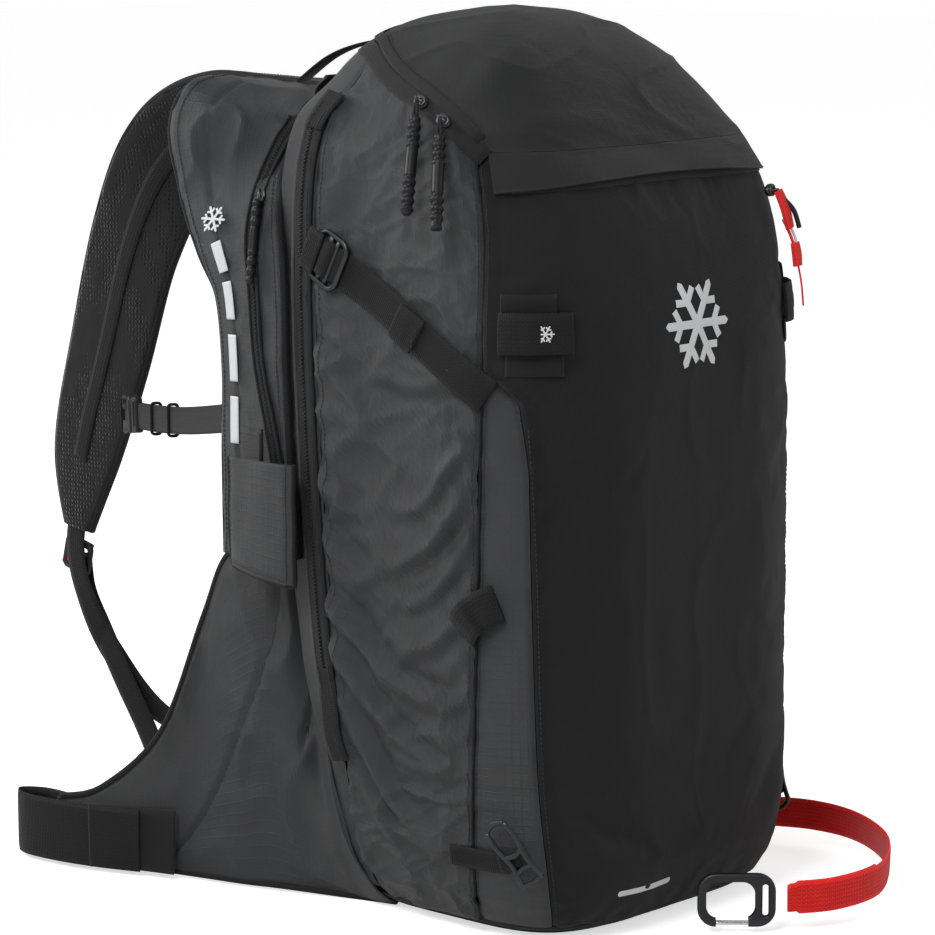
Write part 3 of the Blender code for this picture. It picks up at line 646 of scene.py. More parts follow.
GREY = woven("grey_ripstop", (0.0126, 0.0133, 0.0151), 0.0008, 0.42, 0.05, grid=0.0052, line=0.20, shine=0.50)
BLACK = woven("black_weave", (0.0075, 0.0075, 0.0081), 0.0011, 0.74, 0.10, depth=0.16, rib=1.6)
LID = woven("lid_ripstop", (0.0118, 0.0121, 0.0130), 0.0008, 0.62, 0.12, grid=0.0046, line=0.10)
HEM = woven("hem_weave", (0.0074, 0.0074, 0.0081), 0.0009, 0.72, 0.12)
LINING = woven("lining", (0.0140, 0.0140, 0.0154), 0.0007, 0.6, 0.1)
TAPE = woven("zip_tape", (0.0060, 0.0060, 0.0066), 0.0009, 0.66, 0.15, depth=0.10, crumple=0.1, rib=0.7)
BALLOON = woven("airbag_cloth", (0.72, 0.10, 0.02), 0.0007, 0.38, 0.1, crumple=0.6)
MESH = knitted("spacer_mesh", (0.0084, 0.0084, 0.0090))
WEB = web("black_webbing", (0.0058, 0.0058, 0.0062))
RED_WEB = web("red_webbing", (0.60, 0.012, 0.010), 0.15)
THREAD = web("thread", (0.0168, 0.0168, 0.0182))
COIL = moulded("zip_coil", (0.0077, 0.0077, 0.0084), 0.34)
PLASTIC = moulded("black_plastic", (0.0091, 0.0091, 0.0098), 0.40)
SLEEVE = moulded("pull_sleeve", (0.0085, 0.0085, 0.0095), 0.36)
RED_PLASTIC = moulded("red_plastic", (0.58, 0.014, 0.010), 0.36)
ANODISED = metal("anodised", (0.0440, 0.0448, 0.0480), 0.40, brushed=False)
STEEL = metal("dark_steel", (0.060, 0.060, 0.063), 0.34, brushed=False)
WIRE = metal("bright_wire", (0.62, 0.63, 0.65), 0.22, brushed=False)
ALUMINIUM = metal("aluminium", (0.60, 0.61, 0.63), 0.34)
PRINT = printed("reflective_print", (0.56, 0.57, 0.58))

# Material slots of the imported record, and the look that stands for each.
SLOTS = {
    "side_fabric": GREY,
    "front_fabric": BLACK,
    "padding": MESH,
    "webbing": WEB,
    "red_webbing": RED_WEB,
    "zip_tape": TAPE,
    "airbag_fabric": BALLOON,
    "moulded_plastic": PLASTIC,
    "red_plastic": RED_PLASTIC,
    "stay_metal": ALUMINIUM,
    "buckle_metal": ANODISED,
    "slider_metal": STEEL,
    "gate_wire": WIRE,
}


def place(obj, body, slot, look=None, stands_for=()):
    """Gives a piece its material and lets it ride on a body; given two bodies as (a, b, start, end), it only bakes the
    piece where it stands.
    """
    if not obj.data.materials:
        obj.data.materials.append(look or SLOTS[slot])
    if isinstance(body, str):
        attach(obj, body)
    else:
        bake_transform(obj)
    if stands_for:
        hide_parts(*stands_for)
    return obj


# ---------------------------------------------------------------- body covers

GROUND = []
PINNED_EDGE = 0.012
TUCK_WIDTH = 0.0022


def border_gaps(grid):
    """Distances in metres from each cell of a grid to its left, right, bottom and top borders."""
    steps_across = np.linalg.norm(np.diff(grid, axis=1), axis=-1)
    steps_up = np.linalg.norm(np.diff(grid, axis=0), axis=-1)
    across = np.concatenate([np.zeros((len(grid), 1)), np.cumsum(steps_across, axis=1)], axis=1)
    up = np.concatenate([np.zeros((1, grid.shape[1])), np.cumsum(steps_up, axis=0)], axis=0)
    return across, across[:, -1:] - across, up, up[-1:] - up


def puckers(grid, amounts, period=0.010, reach=0.026):
    """Small gathers that run in from the sewn borders; amounts are left, right, bottom, top."""
    gaps = border_gaps(grid)
    along = (gaps[2], gaps[2], gaps[0], gaps[0])
    total = np.zeros(grid.shape[:2])
    for index, (amount, gap, run) in enumerate(zip(amounts, gaps, along)):
        if amount:
            wave = ripple(np.stack([run / period, gap / (period * 5), run * 0 + index * 7.3], axis=-1), 1.0)
            total += amount * wave * np.exp(-gap / reach)
    return total


def settle(obj, normals, pinned, growth, pressure, cap, frames=16):
    """Cloth simulation of a cover with its pinned cells held, no cell moving more than cap."""
    rest = np.array([vert.co for vert in obj.data.vertices])
    group = obj.vertex_groups.new(name="held")
    for index, weight in enumerate(pinned.ravel()):
        if weight > 0.0:
            group.add([index], float(weight), "REPLACE")
    cloth = obj.modifiers.new("Cloth", "CLOTH")
    held = cloth.settings
    held.vertex_group_mass = group.name
    held.quality = 6
    held.mass = 0.15
    held.tension_stiffness = 15.0
    held.compression_stiffness = 15.0
    held.shear_stiffness = 6.0
    held.bending_stiffness = 0.4
    held.shrink_min = -growth
    held.shrink_max = -growth
    held.use_pressure = True
    held.uniform_pressure_force = pressure
    held.effector_weights.gravity = 0.0
    cloth.collision_settings.use_collision = False
    cloth.point_cache.frame_start = 1
    cloth.point_cache.frame_end = frames
    scene = bpy.context.scene
    for step in range(1, frames + 1):
        scene.frame_set(step)
    made = obj.evaluated_get(bpy.context.evaluated_depsgraph_get()).data
    moved = np.array([vert.co for vert in made.vertices])
    obj.modifiers.remove(cloth)
    obj.vertex_groups.remove(group)
    scene.frame_set(1)
    shift = moved - rest
    along = (shift * normals.reshape(-1, 3)).sum(-1, keepdims=True)
    length = np.abs(along)
    along = along * np.minimum(1.0, cap / np.maximum(length, 1e-9))
    final = rest + normals.reshape(-1, 3) * along
    obj.data.vertices.foreach_set("co", final.astype(np.float32).ravel())
    obj.data.update()


def cover(name, region, counts, body, slot, relief=None, gathers=(0, 0, 0, 0), lift=0.0005, tuck=0.0011,
          cloth=None, look=None, stands_for=(), ground=True, edges=(1, 1, 1, 1), thickness=CLOTH):
    """Fabric panel over region(u, v) of the body, tucked in along its seams and wrinkled by relief."""
    u, v = cells(counts[0] + 1, counts[1] + 1)
    turn, rise = region(u, v)
    grid = skin(turn, rise)
    normals = grid_normals(grid)
    height = np.full(u.shape, lift) + puckers(grid, gathers)
    if relief is not None:
        height += relief(grid, normals, turn, rise)
    for gap, used in zip(border_gaps(grid), edges):
        if used:
            height -= tuck * bell(gap, TUCK_WIDTH)
    points = grid + normals * height[..., None]
    faces = grid_faces(*u.shape)
    obj = mesh_object(name, points.reshape(-1, 3), faces, grid_uvs(grid))
    if cloth:
        gaps = np.minimum.reduce([gap for gap, used in zip(border_gaps(grid), edges) if used])
        settle(obj, normals, 1 - ease(gaps / PINNED_EDGE), **cloth)
    if ground:
        held = np.array([vert.co for vert in obj.data.vertices])
        GROUND.append((held, faces))
    shell = obj.modifiers.new("Thickness", "SOLIDIFY")
    shell.thickness = thickness
    shell.offset = -1.0
    shell.use_even_offset = False
    bake(obj).set_sharp_from_angle(angle=CRISP)
    return place(obj, body, slot, look, stands_for)


def front_relief(grid, normals, turn, rise):
    """Taut panel with slight slack under the pocket zip and near the base."""
    height = 0.0016 * ripple(grid * (1.0, 1.0, 0.6), 0.085, 3.0)
    height += 0.0006 * ripple(grid, 0.030, 9.0)
    height += 0.0009 * creases(grid * (1.0, 1.0, 0.6), 0.060, 4.0)
    for places, width, size in (
        (((0.235, 0.445), (0.18, 0.425), (0.12, 0.415)), 0.010, 0.0012),
        (((0.24, 0.400), (0.19, 0.365), (0.13, 0.345)), 0.012, 0.0012),
        (((0.23, 0.215), (0.17, 0.185), (0.09, 0.150)), 0.012, 0.0014),
        (((-0.23, 0.430), (-0.17, 0.405), (-0.10, 0.400)), 0.012, 0.0012),
        (((-0.23, 0.230), (-0.17, 0.195), (-0.09, 0.165)), 0.012, 0.0013),
    ):
        height += fold(grid, normals, places, width, size)
    under_flap = ease((rise - 0.622) / 0.02)
    return lerp(height, -0.0014, under_flap)


def lid_relief(grid, normals, turn, rise):
    """Loose top cloth, with two folds that run in from its front corner."""
    height = 0.0016 * ripple(grid, 0.075, 8.0) + 0.0006 * ripple(grid, 0.028, 3.0)
    height += 0.0016 * creases(grid * (0.6, 0.6, 1.6), 0.050, 5.0)
    height += fold(grid, normals, ((0.05, 0.690), (0.16, 0.700), (0.25, 0.690)), 0.010, 0.0016)
    height += fold(grid, normals, ((0.30, 0.72), (0.26, 0.78), (0.18, 0.83)), 0.012, 0.0018)
    return height * ease((1.0 - rise) / 0.08)


SIDE_FOLDS = (
    # places of (turn, height in metres), width and size in metres
    (((0.690, 0.238), (0.610, 0.205), (0.520, 0.172), (0.400, 0.158)), 0.0070, 0.0062),
    (((0.680, 0.212), (0.600, 0.165), (0.510, 0.130), (0.400, 0.112)), 0.0066, 0.0053),
    (((0.675, 0.185), (0.620, 0.130), (0.550, 0.085), (0.450, 0.060)), 0.0074, 0.0053),
    (((0.660, 0.150), (0.620, 0.095), (0.560, 0.055)), 0.0061, 0.0037),
    (((0.360, 0.335), (0.420, 0.300), (0.480, 0.285)), 0.0049, 0.0031),
    (((0.360, 0.300), (0.420, 0.268), (0.500, 0.248)), 0.0053, 0.0037),
    (((0.365, 0.262), (0.420, 0.236), (0.490, 0.222)), 0.0049, 0.0034),
    (((0.370, 0.222), (0.430, 0.200), (0.500, 0.195)), 0.0049, 0.0031),
    (((0.690, 0.335), (0.640, 0.300), (0.580, 0.280)), 0.0070, 0.0034),
    (((0.690, 0.290), (0.630, 0.258), (0.560, 0.240)), 0.0066, 0.0037),
    (((0.360, 0.385), (0.440, 0.372), (0.540, 0.380)), 0.0074, 0.0025),
    (((0.690, 0.400), (0.620, 0.380), (0.560, 0.345)), 0.0082, 0.0028),
    (((0.350, 0.470), (0.430, 0.455), (0.520, 0.470)), 0.0074, 0.0019),
)


def corner_lift(turn, rise):
    """How far the seam beside the burst zip stands out from the rear corners."""
    around = ease((np.abs(turn) - 0.57) / 0.08) * ease((BACK_TURN - np.abs(turn)) / 0.06)
    return 0.0080 * around * ease((rise - 0.24) / 0.08) * ease((0.76 - rise) / 0.08)


def side_relief(sign):
    """Slack side panel: placed folds below, small creases all over."""

    def relief(grid, normals, turn, rise):
        height = 0.0022 * ripple(grid * (1.0, 1.0, 0.8), 0.060, 5.0 + sign)
        height += 0.0010 * ripple(grid * (1.0, 1.0, 1.3), 0.020, 1.0 + sign)
        height += 0.0026 * creases(grid * (1.0, 1.0, 1.5), 0.048, 2.0 + sign)
        slanted = grid + grid[..., 1:2] * (0.0, 0.0, 0.5)
        height += 0.0010 * creases(slanted * (0.5, 0.5, 1.8), 0.022, 8.0 + sign, 4.0)
        calm = 1 - ease((grid[..., 2] - 0.36) / 0.10) * 0.7
        for places, width, size in SIDE_FOLDS:
            rises = [(-sign * t, float(rise_at(h))) for t, h in places]
            height += fold(grid, normals, rises, width * 0.9, size * (1.15 if sign < 0 else 0.9))
        return height * calm + corner_lift(turn, rise)

    return relief


def make_body_covers():
    """Every sewn panel of the body, from the base up to the lid."""

    def sole(u, v):
        return lerp(-1.0, 1.0, u), v * SOLE_RISE

    cover("base_cover", sole, (220, 14), "pack_body", "front_fabric", look=HEM, gathers=(0, 0, 0, 0.0008),
          edges=(0, 0, 0, 1), stands_for=("base_panel",), lift=0.0002)
    floor_points = skin(np.linspace(-1, 1, 121)[:-1], np.zeros(120))
    make_sole(floor_points)

    def facade(u, v):
        corner = gusset_seam(0.67) - SEAM_GAP
        top = lid_edge(lerp(-corner, corner, u)) - 0.003
        rise = lerp(SOLE_RISE, top, v)
        edge = gusset_seam(rise) - SEAM_GAP
        return lerp(-edge, edge, u), rise

    cover("front_cover", facade, (130, 170), "pack_body", "front_fabric", relief=front_relief,
          gathers=(0.0010, 0.0010, 0.0010, 0.0), stands_for=("front_panel",),
          cloth={"growth": 0.004, "pressure": 1.2, "cap": 0.004})
    for side, sign in SIDES:

        def gusset(u, v, sign=sign):
            share = u if sign < 0 else 1 - u
            rise = lerp(SOLE_RISE, GUSSET_TOP - 0.004, v)
            return -sign * lerp(gusset_seam(rise) + SEAM_GAP, side_seam(rise) - SEAM_GAP, share), rise

        cover(side + "_gusset_cover", gusset, (34, 130), "pack_body", "side_fabric",
              relief=lambda g, n, t, r: 0.0010 * ripple(g, 0.03, 4.0), gathers=(0.0009, 0.0012, 0.0, 0.0))

        def flank(u, v, sign=sign):
            share = u if sign < 0 else 1 - u
            top = lid_edge(lerp(side_seam(0.69), rear_seam(0.7), share)) - 0.008
            rise = lerp(SOLE_RISE, top, v)
            turn = lerp(side_seam(rise) + SEAM_GAP, rear_seam(rise), share)
            return -sign * turn, rise

        cover(side + "_side_cover", flank, (124, 240), "pack_body", "side_fabric", relief=side_relief(sign),
              gathers=(0.0014, 0.0012, 0.0010, 0.0005), stands_for=(side + "_side_panel",),
              cloth={"growth": 0.018, "pressure": 1.0, "cap": 0.006})

        def rim(u, v, sign=sign):
            share = u if sign < 0 else 1 - u
            rise = lerp(0.10, lid_edge(0.66) - 0.004, v)
            turn = lerp(rear_seam(rise) + 0.0008, BACK_TURN, share)
            return -sign * turn, np.minimum(rise, lid_edge(turn) - 0.008)

        cover(side + "_rim_cover", rim, (40, 130), "pack_body", "side_fabric",
              relief=lambda g, n, t, r: 0.0008 * ripple(g, 0.03, 6.0) + corner_lift(t, r),
              gathers=(0.0008, 0.0006, 0, 0))

    def back(u, v):
        edge = BACK_TURN + 0.002
        return lerp(edge, 2 - edge, u), lerp(SOLE_RISE, COLLAR_RISE - 0.003, v)

    cover("back_cover", back, (70, 120), "pack_body", "front_fabric", look=MESH,
          gathers=(0.0006, 0.0006, 0, 0), stands_for=("back_panel",))

    def collar(u, v):
        turn = lerp(BACK_TURN, 2 - BACK_TURN, u)
        top = lid_edge(np.minimum(turn, 2 - turn)) - 0.010
        return turn, lerp(COLLAR_RISE, top, v)

    cover("collar_cover", collar, (80, 34), "pack_body", "side_fabric",
          relief=lambda g, n, t, r: 0.0016 * ripple(g, 0.04, 2.0), gathers=(0.0006, 0.0006, 0.0010, 0.0010),
          stands_for=("collar_panel",))

    def dome(u, v):
        turn = lerp(-1.0, 1.0, u)
        return turn, lerp(lid_edge(turn) - 0.001, 1.0, v**0.92)

    cover("lid_cover", dome, (240, 84), "lid", "front_fabric", look=LID, relief=lid_relief,
          gathers=(0, 0, 0.0006, 0), edges=(0, 0, 1, 0), tuck=0.0001, lift=LID_LIFT,
          stands_for=("lid_panel",))


def make_sole(rim):
    """Flat sole inside the lowest edge of the body."""
    grid = np.linspace(0.02, 1.0, 16)[:, None, None] * rim
    grid[..., 2] = 0.0003
    faces = [list(face)[::-1] for face in grid_faces(*grid.shape[:2], wrap=True)]
    faces.append(list(range(grid.shape[1])))
    flat = grid.reshape(-1, 3)
    obj = mesh_object("sole_cover", flat, faces, flat[:, :2])
    recalculate(obj)
    shell = obj.modifiers.new("Thickness", "SOLIDIFY")
    shell.thickness = CLOTH
    shell.offset = -1.0
    place(obj, "pack_body", "front_fabric", HEM)


def make_storm_flap():
    """Hem that hangs from the lid over the pocket zip; its ends stay sewn down."""
    for side, sign in SIDES:

        def region(u, v, sign=sign):
            share = u if sign < 0 else 1 - u
            turn = -sign * lerp(0.0, FLAP_TURN, share)
            droop = 0.013 * np.cos(np.pi * np.abs(turn) / FLAP_TURN / 2)
            return turn, lerp(FLAP_HEM + droop, FLAP_TOP, v)

        def relief(grid, normals, turn, rise):
            share = (FLAP_TOP - rise) / (FLAP_TOP - FLAP_HEM)
            ends = np.clip(np.abs(turn) / FLAP_TURN, 0, 1)
            height = LID_LIFT + lid_relief(grid, normals, turn, rise) * (1 - share)
            height += share * lerp(0.0062, 0.0022, ends**3)
            height += 0.0012 * ripple(grid * (1, 1, 0.3), 0.030, 4.0) * share
            return height + 0.0010 * bell(share - 0.97, 0.05)

        hinge = ("pack_body", "storm_flap", (sign * 0.136, 0, 0), (sign * 0.085, 0, 0))
        cover(side + "_storm_flap", region, (90, 22), hinge, "front_fabric", look=LID, relief=relief,
              edges=(0, 0, 0, 0), ground=False, lift=0.0, thickness=0.0016,
              stands_for=("storm_flap",) if sign < 0 else ())


# ---------------------------------------------------------------- lines that lie on the covers


class Surface:
    """The finished covers, for straps, zips and stitches to lie on."""

    def __init__(self):
        points, faces, start = [], [], 0
        for held, quads in GROUND:
            points.append(held)
            faces.extend((quads + start).tolist())
            start += len(held)
        self.tree = BVHTree.FromPolygons(np.concatenate(points).tolist(), faces)

    def height(self, points, normals, reach=0.02):
        """Height of the covers above each point along its normal."""
        heights = np.zeros(len(points))
        for index, (point, normal) in enumerate(zip(points, normals)):
            hit = self.tree.ray_cast(Vector(point + normal * reach), Vector(-normal), 2 * reach)
            if hit[0] is not None:
                heights[index] = reach - hit[3]
        return heights


def trace(surface, places, spacing=0.004, clearance=0.0):
    """Points and normals that follow places of (turn, rise) on the covers."""
    fine = spline(places, np.linspace(0, 1, 160))
    turn, rise = even(skin(*fine.T), spacing, fine)[1].T
    points, normals = skin(turn, rise), skin_normal(turn, rise)
    return points + normals * (surface.height(points, normals) + clearance)[:, None], normals


def smoothed(values, window):
    kernel = np.ones(window) / window
    return np.convolve(np.pad(values, window // 2, mode="edge"), kernel, mode="valid")[: len(values)]


def lay_out(places, count):
    """Centres, normals and sideways directions at count points along places of (turn, rise)."""
    turn, rise = spline(places, np.linspace(0, 1, count)).T
    centres, normals = skin(turn, rise), skin_normal(turn, rise)
    return centres, normals, unit(np.cross(normals, np.gradient(centres, axis=0)))


def raised_strip(name, centres, normals, across, lift, width, thickness, lanes=6, rim=0.55):
    """Webbing at a lift above the body."""
    lane = np.linspace(-0.5, 0.5, lanes + 1)[None, :, None]
    grid = (centres + normals * lift[:, None])[:, None] + across[:, None] * width * lane
    return padded(name, grid, np.repeat(normals[:, None], lanes + 1, axis=1), thickness, rim=rim, power=8.0)


def laid_strip(surface, name, places, width, thickness, clearance, lanes=4, bridge=7, spacing=0.004):
    """Webbing that lies on the covers and bridges their dips."""
    line = skin(*spline(places, np.linspace(0, 1, 200)).T)
    count = max(int(np.linalg.norm(np.diff(line, axis=0), axis=1).sum() / spacing), 6)
    centres, normals, across = lay_out(places, count + 1)
    probes = (-0.45, -0.2, 0.0, 0.2, 0.45)
    top = np.maximum.reduce([surface.height(centres + across * width * lane, normals) for lane in probes])
    top = smoothed(top, bridge) + clearance + thickness / 2
    return raised_strip(name, centres, normals, across, top, width, thickness, lanes)


def stitches(name, points, normals, body, pitch=0.0034, length=0.0026, radius=0.00034, look=None):
    """Row of stitches along a line that lies on a surface."""
    line, outs = even(points, pitch, normals)
    template, faces = capsule(length, radius)
    origins = line + unit(outs) * radius * 0.5
    obj = scatter(name, template, faces, origins, np.gradient(line, axis=0), outs)
    return place(obj, body, "webbing", look or THREAD)


def zip_chain(name, points, normals, body, width=0.0052, pitch=0.0016):
    """Interlocked zip teeth, alternately from the left and the right."""
    line, outs = even(points, pitch, normals)
    along = np.gradient(line, axis=0)
    made = []
    for side in (0, 1):
        shift = (side - 0.5) * width * 0.36
        template, faces = block(pitch * 0.72, width * 0.60, 0.0012, shift)
        made.append(scatter(f"{name}_{side}", template, faces, line[side::2], along[side::2], outs[side::2]))
    return place(join(name, made), body, "zip_tape", COIL)


def make_seams(surface):
    """Twin-needle stitching and narrow piping along the body's seams."""
    rises = np.linspace(0.085, 0.648, 9)
    for side, sign in SIDES:
        seam = [(-sign * float(side_seam(r)), r) for r in rises]
        for row, shift in enumerate((-0.0075, 0.0075)):
            beside = [(t + shift, r) for t, r in seam]
            points, normals = trace(surface, beside, 0.003)
            stitches(f"{side}_seam_stitches_{row}", points, normals, "pack_body")
        points, normals = trace(surface, seam, 0.004, 0.0002)
        place(rod(side + "_seam_piping", points, 0.0011, sides=8), "pack_body", "webbing", WEB)
        low = [(-sign * (float(gusset_seam(r)) - 0.007), r) for r in np.linspace(0.085, 0.430, 7)]
        points, normals = trace(surface, low, 0.003)
        stitches(side + "_gusset_stitches", points, normals, "pack_body")
        rear = [(-sign * (float(rear_seam(r)) - 0.010), r) for r in np.linspace(0.30, 0.70, 7)]
        points, normals = trace(surface, rear, 0.003)
        stitches(side + "_rear_stitches", points, normals, "pack_body")


def make_main_zip(surface):
    """Two-way zip round the lid, its lower tape on the body and its upper tape on the lid."""
    turns = np.concatenate([np.linspace(0.298, 0.99, 16), np.linspace(1.01, 1.702, 16)])
    edge = [float(lid_edge(min(turn, 2 - turn))) for turn in turns]
    middle_line = [(turn, rise - 0.006) for turn, rise in zip(turns, edge)]
    below = [(t, r - 0.011) for t, r in middle_line]
    lower = laid_strip(surface, "main_zip_lower_tape", below, 0.013, 0.0009, 0.0003)
    place(lower, "pack_body", "zip_tape", TAPE)
    points, normals = trace(surface, middle_line, 0.003, 0.0011)
    zip_chain("main_zip_teeth", points, normals, "pack_body")
    upper = [(turn, rise + 0.006) for turn, rise in zip(turns, edge)]
    tape = laid_strip(surface, "main_zip_upper_tape", upper, 0.007, 0.0009, 0.0003)
    place(tape, "lid", "zip_tape", TAPE)
    points, normals = trace(surface, [(t, r + 0.012) for t, r in upper], 0.003)
    stitches("lid_edge_stitches", points, normals, "lid")


def make_burst_zip(surface):
    """Coated tape with a coil that the airbag bursts open, and a stitched tab at each end."""
    places = [(BURST_TURN, rise) for rise in np.linspace(*BURST_RISES, 12)]
    tape = laid_strip(surface, "burst_zip_tape", places, 0.0215, 0.0011, 0.0004, lanes=6)
    place(tape, "pack_body", "zip_tape", TAPE, stands_for=("burst_zip",))
    points, normals = trace(surface, places, 0.003, 0.0019)
    zip_chain("burst_zip_teeth", points, normals, "pack_body", width=0.0042, pitch=0.0013)
    for side in (-1, 1):
        edge = [(turn + side * 0.0125, rise) for turn, rise in places]
        points, normals = trace(surface, edge, 0.003, 0.0016)
        stitches(f"burst_zip_stitches_{side + 1}", points, normals, "pack_body")
    ends = (
        ("top", ((0.004, 0.672), (0.010, 0.700), (0.016, 0.728)), 0.020),
        ("bottom", ((0.004, 0.312), (0.008, 0.285), (0.014, 0.262)), 0.019),
    )
    for name, steps, width in ends:
        run = [(BURST_TURN - step, rise) for step, rise in steps]
        tab = laid_strip(surface, f"burst_zip_{name}_tab", run, width, 0.0014, 0.0018, lanes=6, spacing=0.003)
        place(tab, "pack_body", "webbing", WEB)
        for edge in (-0.011, 0.011):
            points, normals = trace(surface, [(turn + edge, rise) for turn, rise in run], 0.003, 0.0034)
            stitches(f"burst_zip_{name}_tab_stitches_{edge > 0}", points, normals, "pack_body")


def make_compression_strap(surface, side, sign):
    for name, path, sizes, spacing, bridge, stands in (
        ("_compression_strap", ((0.642, 0.541), (0.56, 0.516), (0.45, 0.484), (0.322, 0.446)),
         (0.025, 0.0020, 0.0003), 0.004, 9, (side + "_compression_strap",)),
        ("_compression_anchor", ((0.650, 0.544), (0.640, 0.541), (0.626, 0.537)),
         (0.029, 0.0016, 0.0026), 0.002, 7, ()),
        ("_compression_strap_end", ((0.472, 0.490), (0.452, 0.4845), (0.430, 0.478)),
         (0.0255, 0.0032, 0.0022), 0.002, 7, ()),
    ):
        places = [(-sign * turn, rise) for turn, rise in path]
        laid = laid_strip(surface, side + name, places, *sizes, lanes=6, bridge=bridge, spacing=spacing)
        place(laid, "pack_body", "webbing", WEB, stands)
    for row, share in enumerate((0.440, 0.462)):
        rise = float(np.interp(share, (0.322, 0.45, 0.56), (0.446, 0.484, 0.516)))
        line = [(-sign * (share - 0.004 * k), rise + (k - 0.5) * 0.030) for k in (0.0, 0.5, 1.0)]
        points, normals = trace(surface, line, 0.002, 0.0056)
        stitches(f"{side}_strap_end_stitches_{row}", points, normals, "pack_body")

    turn, rise = -sign * 0.612, 0.532
    normal = skin_normal(turn, rise)
    along = unit(skin(-sign * 0.57, 0.519) - skin(-sign * 0.640, 0.540))
    centre = middle(side + "_compression_buckle")
    across = np.cross(normal, along)
    outline = [centre + along * y + across * x for x, y in rounded_rectangle(0.0345, 0.027, 0.007)]
    name = side + "_compression_buckle"
    place(rod(name, outline, 0.0019, sides=12, cyclic=True), name, "buckle_metal", ANODISED, (name,))
    for label, shift, radius in (("rear", -0.0035, 0.0021), ("front", 0.0035, 0.0017)):
        ends = [centre + along * shift + across * x for x in np.linspace(-0.0165, 0.0165, 7)]
        bar = rod(f"{name}_{label}_bar", ends, radius, sides=12, flat=0.7, out=normal)
        place(bar, name, "buckle_metal", ANODISED)
    loop = []
    for share in np.linspace(0, 1, 9):
        angle = math.pi * (0.15 + 1.5 * share)
        back, out = -0.0030 - 0.0052 * math.cos(angle), 0.0030 * math.sin(angle) - 0.0004
        loop.append(centre + along * back + normal * out)
    lanes = (-0.5, -0.25, 0, 0.25, 0.5)
    grid = np.array([[point + across * 0.024 * lane for lane in lanes] for point in loop])
    normals = grid_normals(grid)
    place(padded(side + "_strap_turn", grid, normals, 0.0016, rim=0.6), "pack_body", "webbing", WEB)


def make_axe_keeper(surface, side, sign):
    """Elastic loop between two sewn patches, with a small plain mark."""
    name = side + "_axe_keeper"
    for label, low, high, thickness in (("upper", 0.300, 0.232, 0.0012), ("lower", 0.296, 0.226, 0.0012)):
        rise = 0.503 if label == "upper" else 0.4655
        places = [(-sign * turn, rise) for turn in np.linspace(low, high, 4)]
        width = 0.020 if label == "upper" else 0.016
        patch = laid_strip(surface, f"{name}_{label}_patch", places, width, thickness, 0.0002,
                           lanes=5, spacing=0.002)
        place(patch, "pack_body", "webbing", HEM)
    places = [(-sign * turn, 0.4855) for turn in np.linspace(0.303, 0.214, 6)]
    count = 40
    turn, rise = spline(places, np.linspace(0, 1, count)).T
    centres, normals = skin(turn, rise), skin_normal(turn, rise)
    along = np.gradient(centres, axis=0)
    across = unit(np.cross(normals, along))
    share = np.linspace(0, 1, count)
    lift = 0.0028 + 0.0036 * np.sin(np.pi * share) ** 0.7 + surface.height(centres, normals)
    lane = np.linspace(-0.5, 0.5, 7)[None, :, None]
    grid = (centres + normals * lift[:, None])[:, None] + across[:, None] * 0.027 * lane
    loop = padded(name + "_loop", grid, np.repeat(normals[:, None], 7, axis=1), 0.0020, rim=0.6, power=8.0)
    place(loop, "pack_body", "webbing", WEB, (name,))
    spot = centres[24] + normals[24] * (lift[24] + 0.0013)
    make_crystal(f"{side}_keeper_mark", spot, normals[24], 0.0062, 0.0003)


def crystal_outline(radius):
    """Plain six-armed snow crystal with one pair of branches on each arm."""
    half = 0.085 * radius
    branch = 0.30 * radius
    root = 0.48 * radius
    lean = np.array([math.cos(math.radians(60)), math.sin(math.radians(60))])
    side = np.array([lean[1], -lean[0]]) * half * 0.9
    points = []
    for arm in range(6):
        start = np.array([root, half])
        local = [(2 * half * math.cos(math.pi / 6), -half), (root, -half)]
        low = np.array([root, -half]) + lean * (1, -1) * branch
        local += [tuple(low), tuple(low + 2 * side * (1, -1))]
        local += [(root + 2 * half, -half), (radius - half, -half), (radius, 0.0), (radius - half, half)]
        high = start + lean * branch
        local += [(root + 2 * half, half), tuple(high + side * 2), tuple(high), (root, half)]
        angle = arm * math.pi / 3
        turn = np.array([[math.cos(angle), -math.sin(angle)], [math.sin(angle), math.cos(angle)]])
        points += [tuple(turn @ np.array(point)) for point in local]
    return points


def make_crystal(name, centre, normal, radius, thickness, body="pack_body"):
    mark = plate(name, [crystal_outline(radius)], thickness, edge=thickness * 0.3)
    stand(mark, centre, normal, (0, 0, 1))
    return place(mark, body, "front_fabric", PRINT)


def make_front_marks(surface):
    """Snow crystal on the front panel and a plain dash near its base, in reflective print."""
    for name, turn, rise, shapes in (
        ("front_mark", 0.0, 0.482, [crystal_outline(0.033)]),
        ("lower_mark", 0.11, 0.145, [rounded_rectangle(0.052, 0.0042, 0.0020)]),
    ):
        points, normals = skin([turn], [rise]), skin_normal([turn], [rise])
        mark = plate(name, shapes, 0.0004, edge=0.0001)
        bm = bmesh.new()
        bm.from_mesh(mark.data)
        bmesh.ops.triangulate(bm, faces=bm.faces)
        bmesh.ops.subdivide_edges(bm, edges=bm.edges, cuts=2, use_grid_fill=True)
        bm.to_mesh(mark.data)
        bm.free()
        stand(mark, points[0], normals[0], (0, 0, 1))
        held = np.array([vert.co for vert in mark.data.vertices])
        level = (held - points[0]) @ normals[0]
        flat = held - level[:, None] * normals[0]
        heights = surface.height(flat, np.repeat(normals, len(flat), axis=0))
        moved = flat + normals[0] * (heights + level + 0.00025)[:, None]
        mark.data.vertices.foreach_set("co", moved.astype(np.float32).ravel())
        mark.data.update()
        place(mark, "pack_body", "front_fabric", PRINT)


# ---------------------------------------------------------------- harness

